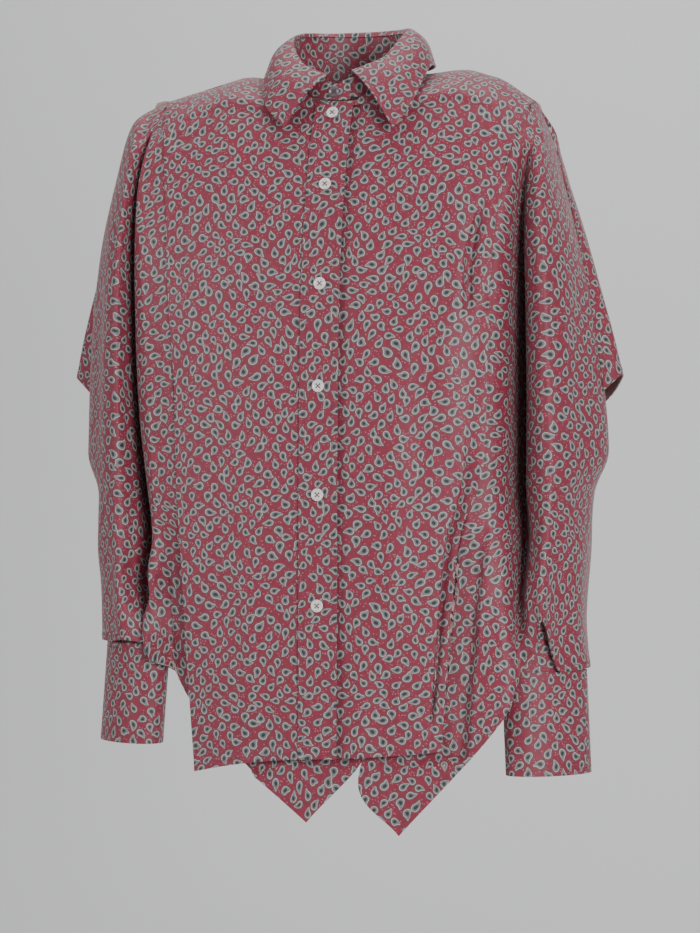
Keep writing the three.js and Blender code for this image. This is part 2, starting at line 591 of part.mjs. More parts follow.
function meshOf(manifold) {
  const mesh = manifold.getMesh();
  const geometry = new THREE.BufferGeometry();
  geometry.setAttribute('position', new THREE.BufferAttribute(new Float32Array(mesh.vertProperties), 3));
  geometry.setIndex(new THREE.BufferAttribute(new Uint32Array(mesh.triVerts), 1));
  return geometry;
}

// The panels that other cloth has to lie clear of.
const fine = spread(0, 1, 60);
const FRONT_GUIDES = [frontRightPoint, frontLeftPoint].map((point) => guide(point, spread(0, 1.1, 26), fine, 0, 60));
const BACK_GUIDES = [guide(backPoint, spread(-1.1, 1.1, 52), fine, 0, 60)];
const SLEEVE_GUIDES = [LEFT, RIGHT].map((side) => guide((s, r) => sleevePoint(side, s, r), spread(-0.45, 1, 40),
  spread(0.03, 0.8, 30), side * SHOULDER_X));
const LOW_GUIDES = Object.fromEntries([LEFT, RIGHT].map((side) => [
  side, [guide((s, r) => sleevePoint(side, s, r), spread(-0.56, 0.56, 44), spread(0.85, 1, 10), side * ARM_X)],
]));

const shirt = new THREE.Group();
const levels = [0, 0.07, 0.14, 0.21, 0.28, 0.34, 0.4, 0.46, 0.52, 0.58, 0.64, 0.685, 0.73, 0.77, 0.81, 0.845, 0.88,
  0.895, 0.912, 0.93, 0.95, 0.97, 0.985, 1];

shirt.add(wall('front_right', frontRightPoint, spread(0, 1, 9), levels, CLOTH, PRINT));
shirt.add(wall('front_left', frontLeftPoint, spread(0, 1, 9), levels, CLOTH, PRINT));
const halfBack = [...spread(0, 1 / 3, 4), ...spread(1 / 3, 1, 6).slice(1)];
const backAcross = [...halfBack.slice(1).map((u) => -u).reverse(), ...halfBack];
shirt.add(wall('back', backPoint, backAcross, levels, CLOTH, PRINT));
shirt.add(wall('placket', placketPoint, spread(0, 1, 2), levels.filter((v) => v <= 0.88), BAND, PRINT));

const across = [-1, -0.93, -0.86, -0.79, -0.74, -0.7, -0.66, -0.62, -0.58, -0.54, -0.5, -0.44, -0.38, -0.32, -0.24,
  -0.16, -0.08];
const round = [...across, 0, ...across.map((s) => -s).reverse()];
for (const [side, word] of [[LEFT, 'left'], [RIGHT, 'right']]) {
  shirt.add(wall(`sleeve_${word}`, (s, r) => sleevePoint(side, s, r), round, spread(0, 1, 18), CLOTH, PRINT));
  const wrapped = round.filter((s) => Math.abs(s) <= 0.5).map((s) => (-s / 0.5) * LOWER_WRAP).reverse();
  const lowerTurns = [...wrapped, ...spread(LOWER_WRAP, Math.PI * 2 - LOWER_WRAP, 5).slice(1, -1)];
  shirt.add(wall(`lower_sleeve_${word}`, (a, v) => lowerSleevePoint(side, a, v), lowerTurns,
    [0, 0.12, 0.25, 0.4, 0.5, 1], CLOTH, PRINT, true));
  shirt.add(wall(`cuff_${word}`, (a, v) => cuffRing(side, a, v), lowerTurns, spread(0, 1, 3), BAND, PRINT, true));
  [0.25, 0.75].forEach((down, i) => {
    const place = cuffRing(side, CUFF_BUTTON_AT, down);
    const beside = cuffRing(side, CUFF_BUTTON_AT + 0.01, down).sub(cuffRing(side, CUFF_BUTTON_AT - 0.01, down));
    const facing = new THREE.Vector3(beside.y, -beside.x, 0).multiplyScalar(-side).normalize();
    place.addScaledVector(facing, BAND / 2 + BUTTON_LAP);
    shirt.add(button(`cuff_button_${word}_${i + 1}`, CUFF_BUTTON_RADIUS, place, facing));
  });
}

shirt.add(wall('collar_stand', standPoint, spread(-1.08, 1.08, 30), spread(0, 1, 2), BAND, PRINT));
shirt.add(wall('collar', collarPoint, spread(-1, 1, 32), [0, FOLD_AT / 2, FOLD_AT, 0.3, 0.55, 1], BAND, PRINT));
shirt.add(wall('cape', capePoint, spread(-1, 1, 32), [0, 0.05, 0.1, 0.16, 0.23, 0.31, 0.4, 0.52, 0.66, 0.82, 1], CLOTH, PRINT));

PLACKET_BUTTONS.forEach(({ z, lift }, i) => {
  let v = 0.5;
  for (let step = 0; step < 40; step += 1) {
    v -= (placketPoint(0.5, v).z - z) / 1000;
  }
  const facing = outward(placketPoint, 0.5, v);
  const place = placketPoint(0.5, v).addScaledVector(facing, BAND / 2 + lift);
  shirt.add(button(`button_${i + 2}`, BUTTON_RADIUS, place, facing));
});

const collarButton = new THREE.Vector3(0, -62 - BAND / 2 - BUTTON_LAP, STAND_BUTTON_Z);
shirt.add(button('button_1', BUTTON_RADIUS * 0.9, collarButton, new THREE.Vector3(0, -1, 0)));

export default shirt;
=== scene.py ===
import math

import bmesh
import bpy
import numpy as np
from mathutils import Matrix, Vector
from mathutils.kdtree import KDTree


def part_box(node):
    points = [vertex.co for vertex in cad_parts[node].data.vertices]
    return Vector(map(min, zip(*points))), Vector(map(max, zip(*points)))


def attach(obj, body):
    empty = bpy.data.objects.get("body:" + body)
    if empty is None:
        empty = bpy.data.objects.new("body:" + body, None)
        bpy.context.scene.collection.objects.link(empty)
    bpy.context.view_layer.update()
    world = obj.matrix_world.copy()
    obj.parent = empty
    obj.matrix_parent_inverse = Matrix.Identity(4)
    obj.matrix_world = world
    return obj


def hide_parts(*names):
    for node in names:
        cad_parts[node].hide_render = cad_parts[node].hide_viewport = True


bl_info = {
    "name": "Paisley Shirt",
    "version": (1, 0, 0),
    "blender": (4, 5, 0),
    "location": "3D View > Sidebar > Shirt",
    "description": "Builds a printed shirt with draped sleeves, a cape back and pointed sleeve corners",
    "category": "Object",
}

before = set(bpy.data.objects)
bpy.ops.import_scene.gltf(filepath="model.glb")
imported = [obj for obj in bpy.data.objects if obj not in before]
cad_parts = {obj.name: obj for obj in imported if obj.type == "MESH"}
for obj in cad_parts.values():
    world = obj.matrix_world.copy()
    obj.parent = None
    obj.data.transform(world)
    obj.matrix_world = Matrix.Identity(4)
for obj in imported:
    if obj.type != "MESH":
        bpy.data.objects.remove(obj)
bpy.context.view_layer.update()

# Sizes are in millimetres up to the point where a mesh is made.
MM = 0.001
BODY = "root"
LEFT = 1
RIGHT = -1
PICTURE_HEIGHT = 933
SENSOR = 36

# Sizes of the cloth
LAP = 3.0
SEAM = 0.3
BAND = 1.6
CLOTH = 1.2
FOLD_AT = 0.16
NECK_RADIUS = 63.9
PLACKET_WIDTH = 38.0
OVERLAP = 17.0
BUTTON_LAP = 0.35
BUTTON_RADIUS = 6.0
CUFF_BUTTON_RADIUS = 5.2
HOLE_AT = 0.27
CUFF_DEPTH = 98.0
LIFT_LEFT = 0.03
LIFT_RIGHT = 0.045
LEAN_FROM = -320.0
LEAN_FULL = -90.0
# How far each shoulder is rounded up, and how far from the middle that starts, is full, fades and ends
SHOULDER_ROUND = {LEFT: (16.0, 66, 125, 145, 205), RIGHT: (12.0, 70, 115, 225, 262)}
ROUND_FROM = -200.0
ROUND_FULL = -60.0
ARM_X = 214.0
SHOULDER_X = 150.0
TUCK_X = 132.0
TUCK_DROP = 10.0
LOWER_FROM = 16 / 18
LOWER_WRAP = math.radians(140)
# The ring of the sleeve cloth that the lower sleeve starts from
RING_FROM, RING_SPAN, RING_STEP = 0.86, 0.56, 0.01
SLEEVE_MIDDLE = (ARM_X, 0.0, -300.0)
LOWER_MIDDLE = (ARM_X, -30.0, -540.0)
CUFF_MIDDLE = (209.0, -60.0, -630.0)
CUFF_BUTTON_AT = math.radians(-150)
CUFF_LONG = 46.0
CUFF_SHORT = 25.0
CUFF_TURN = math.radians(45)
SEWN_LAP = 1.8
FREE_LAP = 9.0
CAPE_DRAPE = 4.5
CAPE_TOUCH = 1.05
SHOULDER_X_IN = 63.0
SHOULDER_X_OUT = 189.0

# Front panels: the edge at the centre and round the neck, and the long outer edge
FRONT_COLUMNS = ("v", "inX", "inY", "inZ", "outX", "outY", "outZ", "round")
FRONT_LEFT = [
    (0.00, -17, -128, -667, 119, -118, -658, 2.4),
    (0.14, -17, -127, -570, 125, -115, -560, 2.4),
    (0.28, -17, -126, -470, 135, -110, -455, 2.4),
    (0.40, -17, -125, -395, 156, -102, -390, 2.6),
    (0.52, -17, -122, -300, 159, -99, -305, 2.6),
    (0.64, -17, -116, -210, 161, -94, -215, 2.4),
    (0.73, -17, -102, -138, 165, -86, -158, 2.2),
    (0.81, -17, -84, -82, 172, -70, -108, 1.8),
    (0.88, -17, -62, -33, 179, -48, -72, 1.5),
    (0.895, 18, -61.5, -30, 180, -43, -67, 1.45),
    (0.93, 32, -55.5, -22, 183, -32, -55, 1.3),
    (0.97, 55, -30, -8, 186, -16, -43, 1.1),
    (1.00, 63, -0.35, 2, 189, -0.35, -38, 1.0),
]
RIGHT_EDGE = [(130, -104, -685), (137, -104, -590), (144, -103, -485), (150, -101, -400), (153, -99, -305)]

# Half of the back panel, and its top edge round the neck and along the shoulder
BACK = [
    (0.00, 0, 118, -675, 142, 100, -588, 2.6),
    (0.14, 0, 118, -580, 146, 99, -510, 2.6),
    (0.28, 0, 117, -480, 151, 98, -430, 2.6),
    (0.40, 0, 116, -390, 155, 97, -362, 2.6),
    (0.52, 0, 116, -300, 158, 95, -290, 2.6),
    (0.64, 0, 117, -205, 161, 91, -215, 2.4),
    (0.73, 0, 114, -130, 165, 84, -158, 2.2),
    (0.81, 0, 106, -72, 172, 70, -108, 1.8),
    (0.88, 0, 90, -25, 179, 48, -72, 1.6),
]
BACK_FROM, BACK_ARC, BACK_NECK_R, BACK_NECK_Z, BACK_SIDE_Z = 0.88, 1 / 3, 64.5, 9.0, 2.0
BACK_TIP = (189.0, 0.35, -38.0)

# Sleeve cloth: its edge at the body, the deep fold beside the arm, the arm's front and its outermost line
SLEEVE_COLUMNS = ("r", "endX", "endY", "endZ", "valX", "valY", "valZ", "gape", "armX", "armY", "armZ",
                  "outX", "outY", "outZ")
SLEEVE_LEFT = [
    (0.00, 174, -34, -58, 181.5, -24, -47.5, 3, 185, -12, -40.5, 189.5, 0, -38),
    (0.08, 174, -60, -92, 188, -50, -76, 5, 197, -38, -66, 203, 0, -72),
    (0.17, 166, -80, -140, 184, -46, -128, 7, 205, -62, -114, 216, 0, -120),
    (0.28, 160, -91, -195, 182, -30, -195, 8, 211, -78, -182, 232, 0, -182),
    (0.40, 156, -96, -265, 182, -16, -265, 9, 215, -84, -250, 245, 0, -242),
    (0.53, 153, -98, -335, 182, -14, -335, 10, 218, -86, -322, 255, 0, -308),
    (0.64, 148, -101, -400, 182, -20, -405, 10, 220, -86, -390, 260, -2, -372),
    (0.73, 116, -112, -470, 186, -44, -465, 12, 219, -88, -435, 246, -10, -415),
    (0.83, 78, -119, -560, 186, -76, -525, 12, 216, -92, -480, 243, -20, -470),
    (0.92, 38, -121, -690, 190, -96, -560, 14, 214, -97, -515, 240, -30, -530),
    (1.00, 78, -121, -739, 192, -100, -582, 16, 212, -98, -534, 246.5, -40, -582),
]
RIGHT_SLEEVE_CHANGES = [
    {},
    {"valX": 196, "valY": -36, "gape": 4, "armX": 207, "outX": 225, "outZ": -60},
    {"valX": 203, "gape": 4, "armX": 214, "outX": 243, "outZ": -112},
    {"valX": 206, "gape": 5, "armX": 219, "outX": 259, "outZ": -174},
    {"valX": 205, "gape": 5, "armX": 221, "outX": 268},
    {"valX": 202, "gape": 6, "armX": 220, "outX": 272},
    {"valX": 195, "gape": 8, "outX": 273},
    {"endX": 78, "endY": -116, "endZ": -490, "outX": 258},
    {"endX": 8, "endY": -121, "endZ": -590, "valZ": -520, "outX": 256, "outZ": -465},
    {"endX": -46, "endY": -121, "endZ": -655, "valX": 178, "valY": -98, "valZ": -550,
     "armX": 212, "armY": -99, "armZ": -522, "outX": 249, "outZ": -512},
    {"endX": 13, "endY": -121, "endZ": -729, "valX": 166, "valY": -101, "valZ": -562,
     "armX": 206, "armY": -101, "armZ": -558, "outX": 245, "outZ": -561},
]

# Cuffs: centre of the flattened ring at its top and bottom edge
CUFF = {LEFT: (207, -58, -584, 212, -62), RIGHT: (202, -60, -562, 208, -64)}

# Collar leaf: its fold and its outer edge, from the right front round the back to the left
COLLAR_COLUMNS = ("w", "foldX", "foldY", "foldZ", "edgeX", "edgeY", "edgeZ")
COLLAR = [
    (-1.00, -8, -62.5, -14, -45, -84, -58),
    (-0.78, -36, -50, 8, -70, -64, -31),
    (-0.50, -58, -2, 42, -83, -8, 5),
    (-0.25, -44, 46, 52, -66, 66, 12),
    (0.00, 1, 64, 55, 0, 92, 14),
    (0.25, 46, 46, 54, 68, 66, 15),
    (0.50, 60, -2, 45, 86, -8, 9),
    (0.78, 42, -50, 4, 80, -62, -30),
    (1.00, 18, -62, -22, 65, -90, -62),
]
STAND_COLUMNS = ("deg", "lowR", "lowZ", "topR", "topZ")
STAND = [(0, 62, -28.5, 59, -14), (45, 62, -20, 58, 6), (90, 62, 1.6, 57, 36), (135, 62, 5.2, 58, 46),
         (180, 62, 8.4, 60, 49)]

# Cape: where each rib leaves the neck or shoulder, how it sets off, and where it ends
CAPE_COLUMNS = ("w", "topX", "topY", "topZ", "offX", "offY", "offZ", "hemX", "hemY", "hemZ", "flare")
CAPE_RIGHT = [
    (0.00, 0, 77, 6, 0, 46, -10, 0, 128, -455, 0),
    (0.30, 44, 56, 2, 16, 56, -6, 112, 128, -405, 0),
    (0.52, 88, 16, -3, 34, 80, -4, 200, 116, -352, 4),
    (0.75, 135, 4, -18.4, 72, 58, -14, 277, 78, -318, 12),
    (0.90, 172, 2.6, -30.4, 66, 26, -16, 295, 20, -296, 20),
    (1.00, 203, 3, -37, 30, 4, -66, 276, 4, -312, 14),
]
CAPE_LEFT = CAPE_RIGHT[:3] + [
    (0.75, 135, 4, -18.4, 62, 58, -14, 250, 78, -318, 16),
    (0.90, 172, 2.6, -30.4, 36, 26, -22, 272, 14, -298, 26),
    (1.00, 197, 8, -37, 16, 14, -70, 256, -6, -314, 18),
]

# Soft folds of the fronts: x and z of the upper and lower end, half width and height (a trough is negative)
FRONT_FOLDS = [
    (-137, 70, -137, -240, 14, -1.0),
    (-136, -60, -130, -330, 9, 1.2),
    (-100, -365, -98, -560, 15, -2.0),
    (-72, -470, -66, -640, 12, 1.8),
    (-55, -600, -52, -700, 12, -2.2),
    (-95, -60, -60, -210, 16, 1.4),
    (-60, -150, -64, -300, 12, -1.6),
    (60, -130, 64, -300, 18, -1.6),
    (44, -400, 36, -520, 14, -2.0),
    (72, -330, 70, -560, 16, 1.8),
    (62, -560, 60, -690, 13, -2.2),
    (128, -90, 118, -330, 12, 1.6),
    (152, -135, 141, -203, 4, -3.2),
    (141, -200, 144, -236, 4, -2.8),
    (150, -228, 160, -232, 11, -2.6),
    (134, -170, 130, -250, 8, 1.6),
    (150, -250, 138, -360, 9, -1.6),
    (100, -240, 96, -420, 12, -1.3),
    (-168, -68, -148, -63, 5, -2.4),
    (-148, -63, -122, -55, 5, -1.6),
    (-150, -90, -152, -220, 6, -1.3),
]
# The left front's sharp creases, upwards: z, x and how wide the sunk cloth is there; then the depth of each,
# and the heights between which it starts and ends
SHARP_CREASES = [
    ((-637, -564, -495, -455, -425, -396, -340), (107.5, 113, 118, 121.6, 132, 137.6, 141),
     (5, 8, 12, 15, 17, 16, 12), 6.5, (-650, -600, -420, -340)),
    ((-246, -227, -186, -160, -136), (137, 136, 137, 142, 149),
     (12, 15, 16, 14, 10), 4.5, (-250, -225, -165, -130)),
]
# Soft folds of the sleeve cloths, the back and the cape, in the same columns as the fronts'
SLEEVE_FOLDS = {
    LEFT: [
        (240, -180, 246, -400, 12, -2.4),
        (225, -120, 228, -420, 10, 1.8),
        (222, -470, 228, -570, 9, -2.4),
        (237, -440, 239, -560, 8, 2.0),
        (150, -550, 157, -604, 9, -2.2),
        (174, -515, 179, -570, 9, 2.0),
        (118, -600, 132, -690, 12, 1.8),
        (196, -490, 202, -560, 8, 1.8),
    ],
    RIGHT: [
        (-246, -190, -252, -400, 12, -2.2),
        (-229, -120, -232, -390, 10, 1.8),
        (-241, -412, -242, -486, 8, 2.4),
        (-210, -462, -168, -546, 9, -4.0),
        (-226, -470, -222, -552, 8, -2.0),
        (-186, -470, -150, -560, 9, 2.0),
        (-90, -640, -70, -700, 10, -1.8),
    ],
}
BACK_FOLDS = [
    (-20, -470, -26, -650, 16, 2.6),
    (18, -460, 22, -655, 15, -2.4),
    (58, -450, 66, -640, 17, 2.2),
    (-66, -455, -74, -640, 15, -2.6),
    (-104, -400, -112, -590, 14, 2.0),
    (102, -400, 108, -590, 13, -2.2),
]
CAPE_FOLDS = [
    (-8, -60, -14, -440, 20, 3.4),
    (30, -70, 46, -430, 17, -3.0),
    (-46, -60, -62, -430, 18, -3.4),
    (74, -60, 96, -420, 19, 3.6),
    (-84, -60, -112, -410, 18, 3.2),
    (112, -90, 146, -400, 16, -3.0),
    (-124, -90, -160, -390, 16, -2.8),
    (150, -100, 190, -370, 17, 2.8),
    (-168, -110, -206, -370, 16, 2.6),
]
HEM = 8.0
HEM_EXTRA = 0.7
STITCH_INSET = 5.5
# A drop of the print at Drop Size 1, from its round end to its tip, and how far chance moves it
DROP_LENGTH = 5.5
DROP_RADIUS = 3.45
DROP_MOVE = 3.2


def table(columns, rows):
    """Named columns with a slope at each row, so that a curve through them never overshoots."""
    data = np.array(rows, float)
    key = data[:, 0]
    step = np.diff(key)[:, None]
    rise = np.diff(data, axis=0) / step
    slope = np.vstack([rise[:1], np.zeros_like(rise[1:]), rise[-1:]])
    before, after = rise[:-1], rise[1:]
    both = before * after > 0
    total = np.where(both, before + after, 1.0)
    slope[1:-1] = np.where(both, 2 * before * after / total, 0.0)
    return {"columns": columns, "data": data, "slope": slope}


def row_at(source, at):
    at = np.asarray(at, float)
    data, slope = source["data"], source["slope"]
    key = data[:, 0]
    i = np.clip(np.searchsorted(key, at, side="left") - 1, 0, len(key) - 2)
    width = key[i + 1] - key[i]
    t = np.clip((at - key[i]) / width, 0, 1)[..., None]
    t2, t3 = t * t, t * t * t
    w = width[..., None]
    value = (data[i] * (2 * t3 - 3 * t2 + 1) + data[i + 1] * (3 * t2 - 2 * t3)
             + w * (slope[i] * (t3 - 2 * t2 + t) + slope[i + 1] * (t3 - t2)))
    return {name: value[..., n] for n, name in enumerate(source["columns"])}


def right_front_rows():
    rows = [list(r) for r in FRONT_LEFT]
    for row, edge in zip(rows, RIGHT_EDGE):
        row[4:7] = edge
    return rows


def right_sleeve_rows():
    rows = [dict(zip(SLEEVE_COLUMNS, r)) for r in SLEEVE_LEFT]
    return [[{**row, **change}[c] for c in SLEEVE_COLUMNS] for row, change in zip(rows, RIGHT_SLEEVE_CHANGES)]


FRONTS = {LEFT: table(FRONT_COLUMNS, FRONT_LEFT), RIGHT: table(FRONT_COLUMNS, right_front_rows())}
BACK_TABLE = table(FRONT_COLUMNS, BACK)
SLEEVES = {LEFT: table(SLEEVE_COLUMNS, SLEEVE_LEFT), RIGHT: table(SLEEVE_COLUMNS, right_sleeve_rows())}
COLLAR_TABLE = table(COLLAR_COLUMNS, COLLAR)
STAND_TABLE = table(STAND_COLUMNS, STAND)
CAPES = {LEFT: table(CAPE_COLUMNS, CAPE_LEFT), RIGHT: table(CAPE_COLUMNS, CAPE_RIGHT)}


def smooth(x, low, high):
    t = np.clip((np.asarray(x, float) - low) / (high - low), 0, 1)
    return t * t * (3 - 2 * t)


def lerp(a, b, t):
    return a + (b - a) * t


def xyz(x, y, z):
    return np.stack(np.broadcast_arrays(x, y, z), axis=-1).astype(float)


def unit(v):
    return v / np.maximum(np.linalg.norm(v, axis=-1, keepdims=True), 1e-12)


def lean(p):
    """The wearer's right shoulder is carried a little higher than the left, and both are rounded."""
    away = np.abs(p[..., 0])
    lift = np.where(p[..., 0] > 0, LIFT_LEFT, LIFT_RIGHT) * away * smooth(p[..., 2], LEAN_FROM, LEAN_FULL)
    left, right = (height * smooth(away, low, full) * (1 - smooth(away, fade, end))
                   for height, low, full, fade, end in (SHOULDER_ROUND[LEFT], SHOULDER_ROUND[RIGHT]))
    rise = np.where(p[..., 0] > 0, left, right)
    p[..., 2] += lift + rise * smooth(p[..., 2], ROUND_FROM, ROUND_FULL)
    return p


def through_points(stops, at):
    """A smooth curve through a few places, each an array of points, at the given values."""
    places = [s for s, _ in stops]
    at = np.asarray(at, float)
    out = np.zeros(at.shape + (3,))
    n = len(stops)

    def slope(k):
        a, b = max(k - 1, 0), min(k + 1, n - 1)
        return (stops[b][1] - stops[a][1]) / (places[b] - places[a])

    for i in range(n - 1):
        low = -np.inf if i == 0 else places[i]
        high = np.inf if i == n - 2 else places[i + 1]
        here = (at > low) & (at <= high)
        width = places[i + 1] - places[i]
        t = ((at - places[i]) / width)[..., None]
        t2, t3 = t * t, t * t * t
        value = (stops[i][1] * (2 * t3 - 3 * t2 + 1) + stops[i + 1][1] * (3 * t2 - 2 * t3)
                 + width * (slope(i) * (t3 - 2 * t2 + t) + slope(i + 1) * (t3 - t2)))
        out = np.where(here[..., None], value, out)
    return out


def normal_of(surface, u, v):
    """The direction square to a surface, towards the outside of the shirt."""
    step = 1e-3
    ua, ub = np.where(u > 0.5, u - step, u), np.where(u > 0.5, u, u + step)
    va, vb = np.where(v > 0.5, v - step, v), np.where(v > 0.5, v, v + step)
    n = unit(np.cross(surface(ub, v) - surface(ua, v), surface(u, vb) - surface(u, va)))
    p = surface(u, v)
    outside = xyz(p[..., 0], p[..., 1] * 2, p[..., 2] + 300)
    facing = np.sum(n * outside, axis=-1, keepdims=True)
    return np.where(facing < 0, -n, n)


def moved_out(surface, u, v, distance):
    return surface(u, v) + normal_of(surface, u, v) * np.asarray(distance)[..., None]


def panel(source, side, u, v):
    """Half of the body's cloth, from its inner (u 0) to its outer edge and from its hem (v 0) to the neck."""
    row = row_at(source, v)
    reach = np.maximum(1, NECK_RADIUS / np.hypot(row["inX"], row["inY"]))
    along = np.maximum(u, 0)
    x = lerp(row["inX"] * reach, row["outX"], u)
    y = lerp(row["inY"] * reach, row["outY"], along ** row["round"])
    z = lerp(row["inZ"], row["outZ"], along ** lerp(2, 1, smooth(v, 0.88, 0.97)))
    return lean(xyz(side * x, y, z))


def fold_height(folds, x, z):
    """How far the soft folds lift or sink the cloth at a place."""
    total = np.zeros(np.broadcast(x, z).shape)
    for x0, z0, x1, z1, width, height in folds:
        ax, az = x1 - x0, z1 - z0
        size = ax * ax + az * az
        t = ((x - x0) * ax + (z - z0) * az) / size
        near = np.clip(t, 0, 1)
        off = np.hypot(x - (x0 + ax * near), (z - (z0 + az * near)))
        ends = smooth(t, -0.15, 0.3) * (1 - smooth(t, 0.7, 1.15))
        total += height * np.exp(-((off / width) ** 2)) * ends
    return total


def front_right(u, v):
    plain = lambda a, b: panel(FRONTS[RIGHT], RIGHT, a, b)
    p = plain(u, v)
    return p + normal_of(plain, u, v) * fold_height(FRONT_FOLDS, p[..., 0], p[..., 2])[..., None]


def sharp_creases(x, z):
    """A sharp step down at each crease, which the cloth beside it makes up again towards the edge."""
    total = np.zeros(np.broadcast(x, z).shape)
    for heights, line, widths, depth, (low, full, fade, top) in SHARP_CREASES:
        past = x - np.interp(z, heights, line)
        width = np.interp(z, heights, widths)
        ends = smooth(z, low, full) * (1 - smooth(z, fade, top))
        total -= depth * ends * smooth(past, -1.0, 1.2) * (1 - smooth(past / width, 0.15, 1))
    return total


def front_left(u, v):
    plain = lambda a, b: panel(FRONTS[LEFT], LEFT, a, b)
    p = plain(u, v)
    shift = fold_height(FRONT_FOLDS, p[..., 0], p[..., 2]) * smooth(p[..., 0], OVERLAP, OVERLAP * 2)
    shift = shift + sharp_creases(p[..., 0], p[..., 2])
    shift = shift - LAP * (1 - smooth(p[..., 0], OVERLAP, OVERLAP * 2.4))
    return p + normal_of(plain, u, v) * shift[..., None]


def back(u, v):
    side = np.where(u < 0, -1.0, 1.0)
    across = np.abs(u)
    start = panel(BACK_TABLE, side, across, np.minimum(v, BACK_FROM))
    turn = (math.pi / 2) * np.minimum(across / BACK_ARC, 1)
    out = np.maximum(across - BACK_ARC, 0) / (1 - BACK_ARC)
    top = lean(xyz(
        side * lerp(BACK_NECK_R * np.sin(turn), BACK_TIP[0], out),
        np.maximum(BACK_NECK_R * np.cos(turn), BACK_TIP[1]),
        lerp(lerp(BACK_NECK_Z, BACK_SIDE_Z, turn / (math.pi / 2)), BACK_TIP[2], out),
    ))
    knee = xyz(lerp(start[..., 0], top[..., 0], 0.5), lerp(start[..., 1], top[..., 1], 0.45),
               lerp(start[..., 2], top[..., 2], 0.85))
    t = (np.maximum(v - BACK_FROM, 0) / (1 - BACK_FROM))[..., None]
    p = start * (1 - t) ** 2 + knee * 2 * t * (1 - t) + top * t * t
    p[..., 1] += fold_height(BACK_FOLDS, p[..., 0], p[..., 2])
    # The seam allowance at the shoulder lies under the cape.
    p[..., 2] -= 1.9 * smooth(v, 0.96, 1) * smooth(across, BACK_ARC, BACK_ARC + 0.06)
    return p


def placket(u, v):
    x = lerp(-PLACKET_WIDTH / 2, PLACKET_WIDTH / 2, u)
    row = row_at(FRONTS[RIGHT], v)
    across = (-x - row["inX"]) / (row["outX"] - row["inX"])
    return moved_out(front_right, across, v, np.full(np.shape(across), (CLOTH + BAND) / 2 + BUTTON_LAP))


def sleeve_free(side, s, r):
    """The sleeve cloth before it is laid clear of the body's panels: s runs round it and r down it."""
    row = row_at(SLEEVES[side], r)
    behind = s > 0

    def turned(x, y, z):
        return xyz(x, np.where(behind, -0.98 * y, y), z)

    end_x = np.where(behind, np.maximum(row["endX"], TUCK_X), row["endX"])
    end_z = np.where(behind, np.maximum(row["endZ"], row["valZ"] - TUCK_DROP), row["endZ"])
    end = turned(end_x, row["endY"], end_z)
    lip = turned(row["valX"] - row["gape"], row["endY"] + (row["valY"] - row["endY"]) * 0.28,
                 lerp(row["endZ"], row["valZ"], 0.7))
    valley = turned(row["valX"], row["valY"], row["valZ"])
    cheek = turned(row["valX"] + row["gape"], row["armY"] + (row["valY"] - row["armY"]) * 0.3,
                   lerp(row["valZ"], row["armZ"], 0.4))
    arm = turned(row["armX"], row["armY"], row["armZ"])
    out = xyz(row["outX"], row["outY"], row["outZ"])
    far = arm.copy()
    far[..., 1] = 2 * row["outY"] - far[..., 1]
    stops = [(-1, end), (-0.74, lip), (-0.62, valley), (-0.5, cheek), (-0.32, arm), (0, out), (0.32, far)]
    p = through_points(stops, -np.abs(s))
    beside = smooth(-np.abs(s), -0.32, -0.2) - smooth(-np.abs(s), -0.32, 0)
    p[..., 2] += (row["outZ"] - row["armZ"]) * beside * smooth(r, 0.85, 1)
    p[..., 0] *= side
    return lean(p)


def searchable(p, n):
    """Points with their outward directions and a search tree, for cloth that has to lie clear of them."""
    p, n = p.reshape(-1, 3), n.reshape(-1, 3)
    tree = KDTree(len(p))
    for i, place in enumerate(p):
        tree.insert(place, i)
    tree.balance()
    return p, n, tree


def guide(surface, u, v):
    uu, vv = np.meshgrid(u, v)
    return searchable(surface(uu, vv), normal_of(surface, uu, vv))


def nearest(source, p):
    places, normals, tree = source
    found = np.array([tree.find(q)[1] for q in p.reshape(-1, 3)])
    return places[found].reshape(p.shape), normals[found].reshape(p.shape)


def keep_clear(p, guides, distance, side):
    """Moves points off a surface, to lie at least a distance outside it (side 1) or inside it (side -1)."""
    for source in guides:
        place, n = nearest(source, p)
        gap = p - place
        off = np.sum(gap * n, axis=-1) * side
        beside = np.sqrt(np.maximum(np.sum(gap * gap, axis=-1) - off * off, 0))
        push = np.maximum(distance - off, 0) * (1 - smooth(beside, 7, 14))
        p = p + n * (side * push)[..., None]
    return p


def soften(shift, rounds):
    """Evens out how far the points of a grid were moved."""
    for _ in range(rounds):
        for axis in (0, 1):
            padded = np.concatenate([np.take(shift, [0], axis), shift, np.take(shift, [-1], axis)], axis)
            n = shift.shape[axis]
            a, b, c = (np.take(padded, np.arange(k, k + n), axis) for k in (0, 1, 2))
            shift = (a + 2 * b + c) / 4
    return shift


GUIDES = {}


def guides_of(name):
    """The guides of the panels that other cloth lies clear of, made once."""
    if name not in GUIDES:
        surfaces, across = {
            "fronts": ((front_right, front_left), np.linspace(0, 1.1, 60)),
            "back": ((back,), np.linspace(-1.1, 1.1, 120)),
        }[name]
        GUIDES[name] = [guide(surface, across, np.linspace(0, 1, 240)) for surface in surfaces]
    return GUIDES[name]


def grid(surface, u, v):
    uu, vv = np.meshgrid(u, v)
    return surface(uu, vv)


def guide_points(p, centre):
    """A guide from a grid of cloth, facing away from an upright line through a point."""
    n = grid_normals(p)
    facing = np.sum(n[..., :2] * (p - centre)[..., :2], axis=-1, keepdims=True)
    return searchable(p, np.where(facing < 0, -n, n))


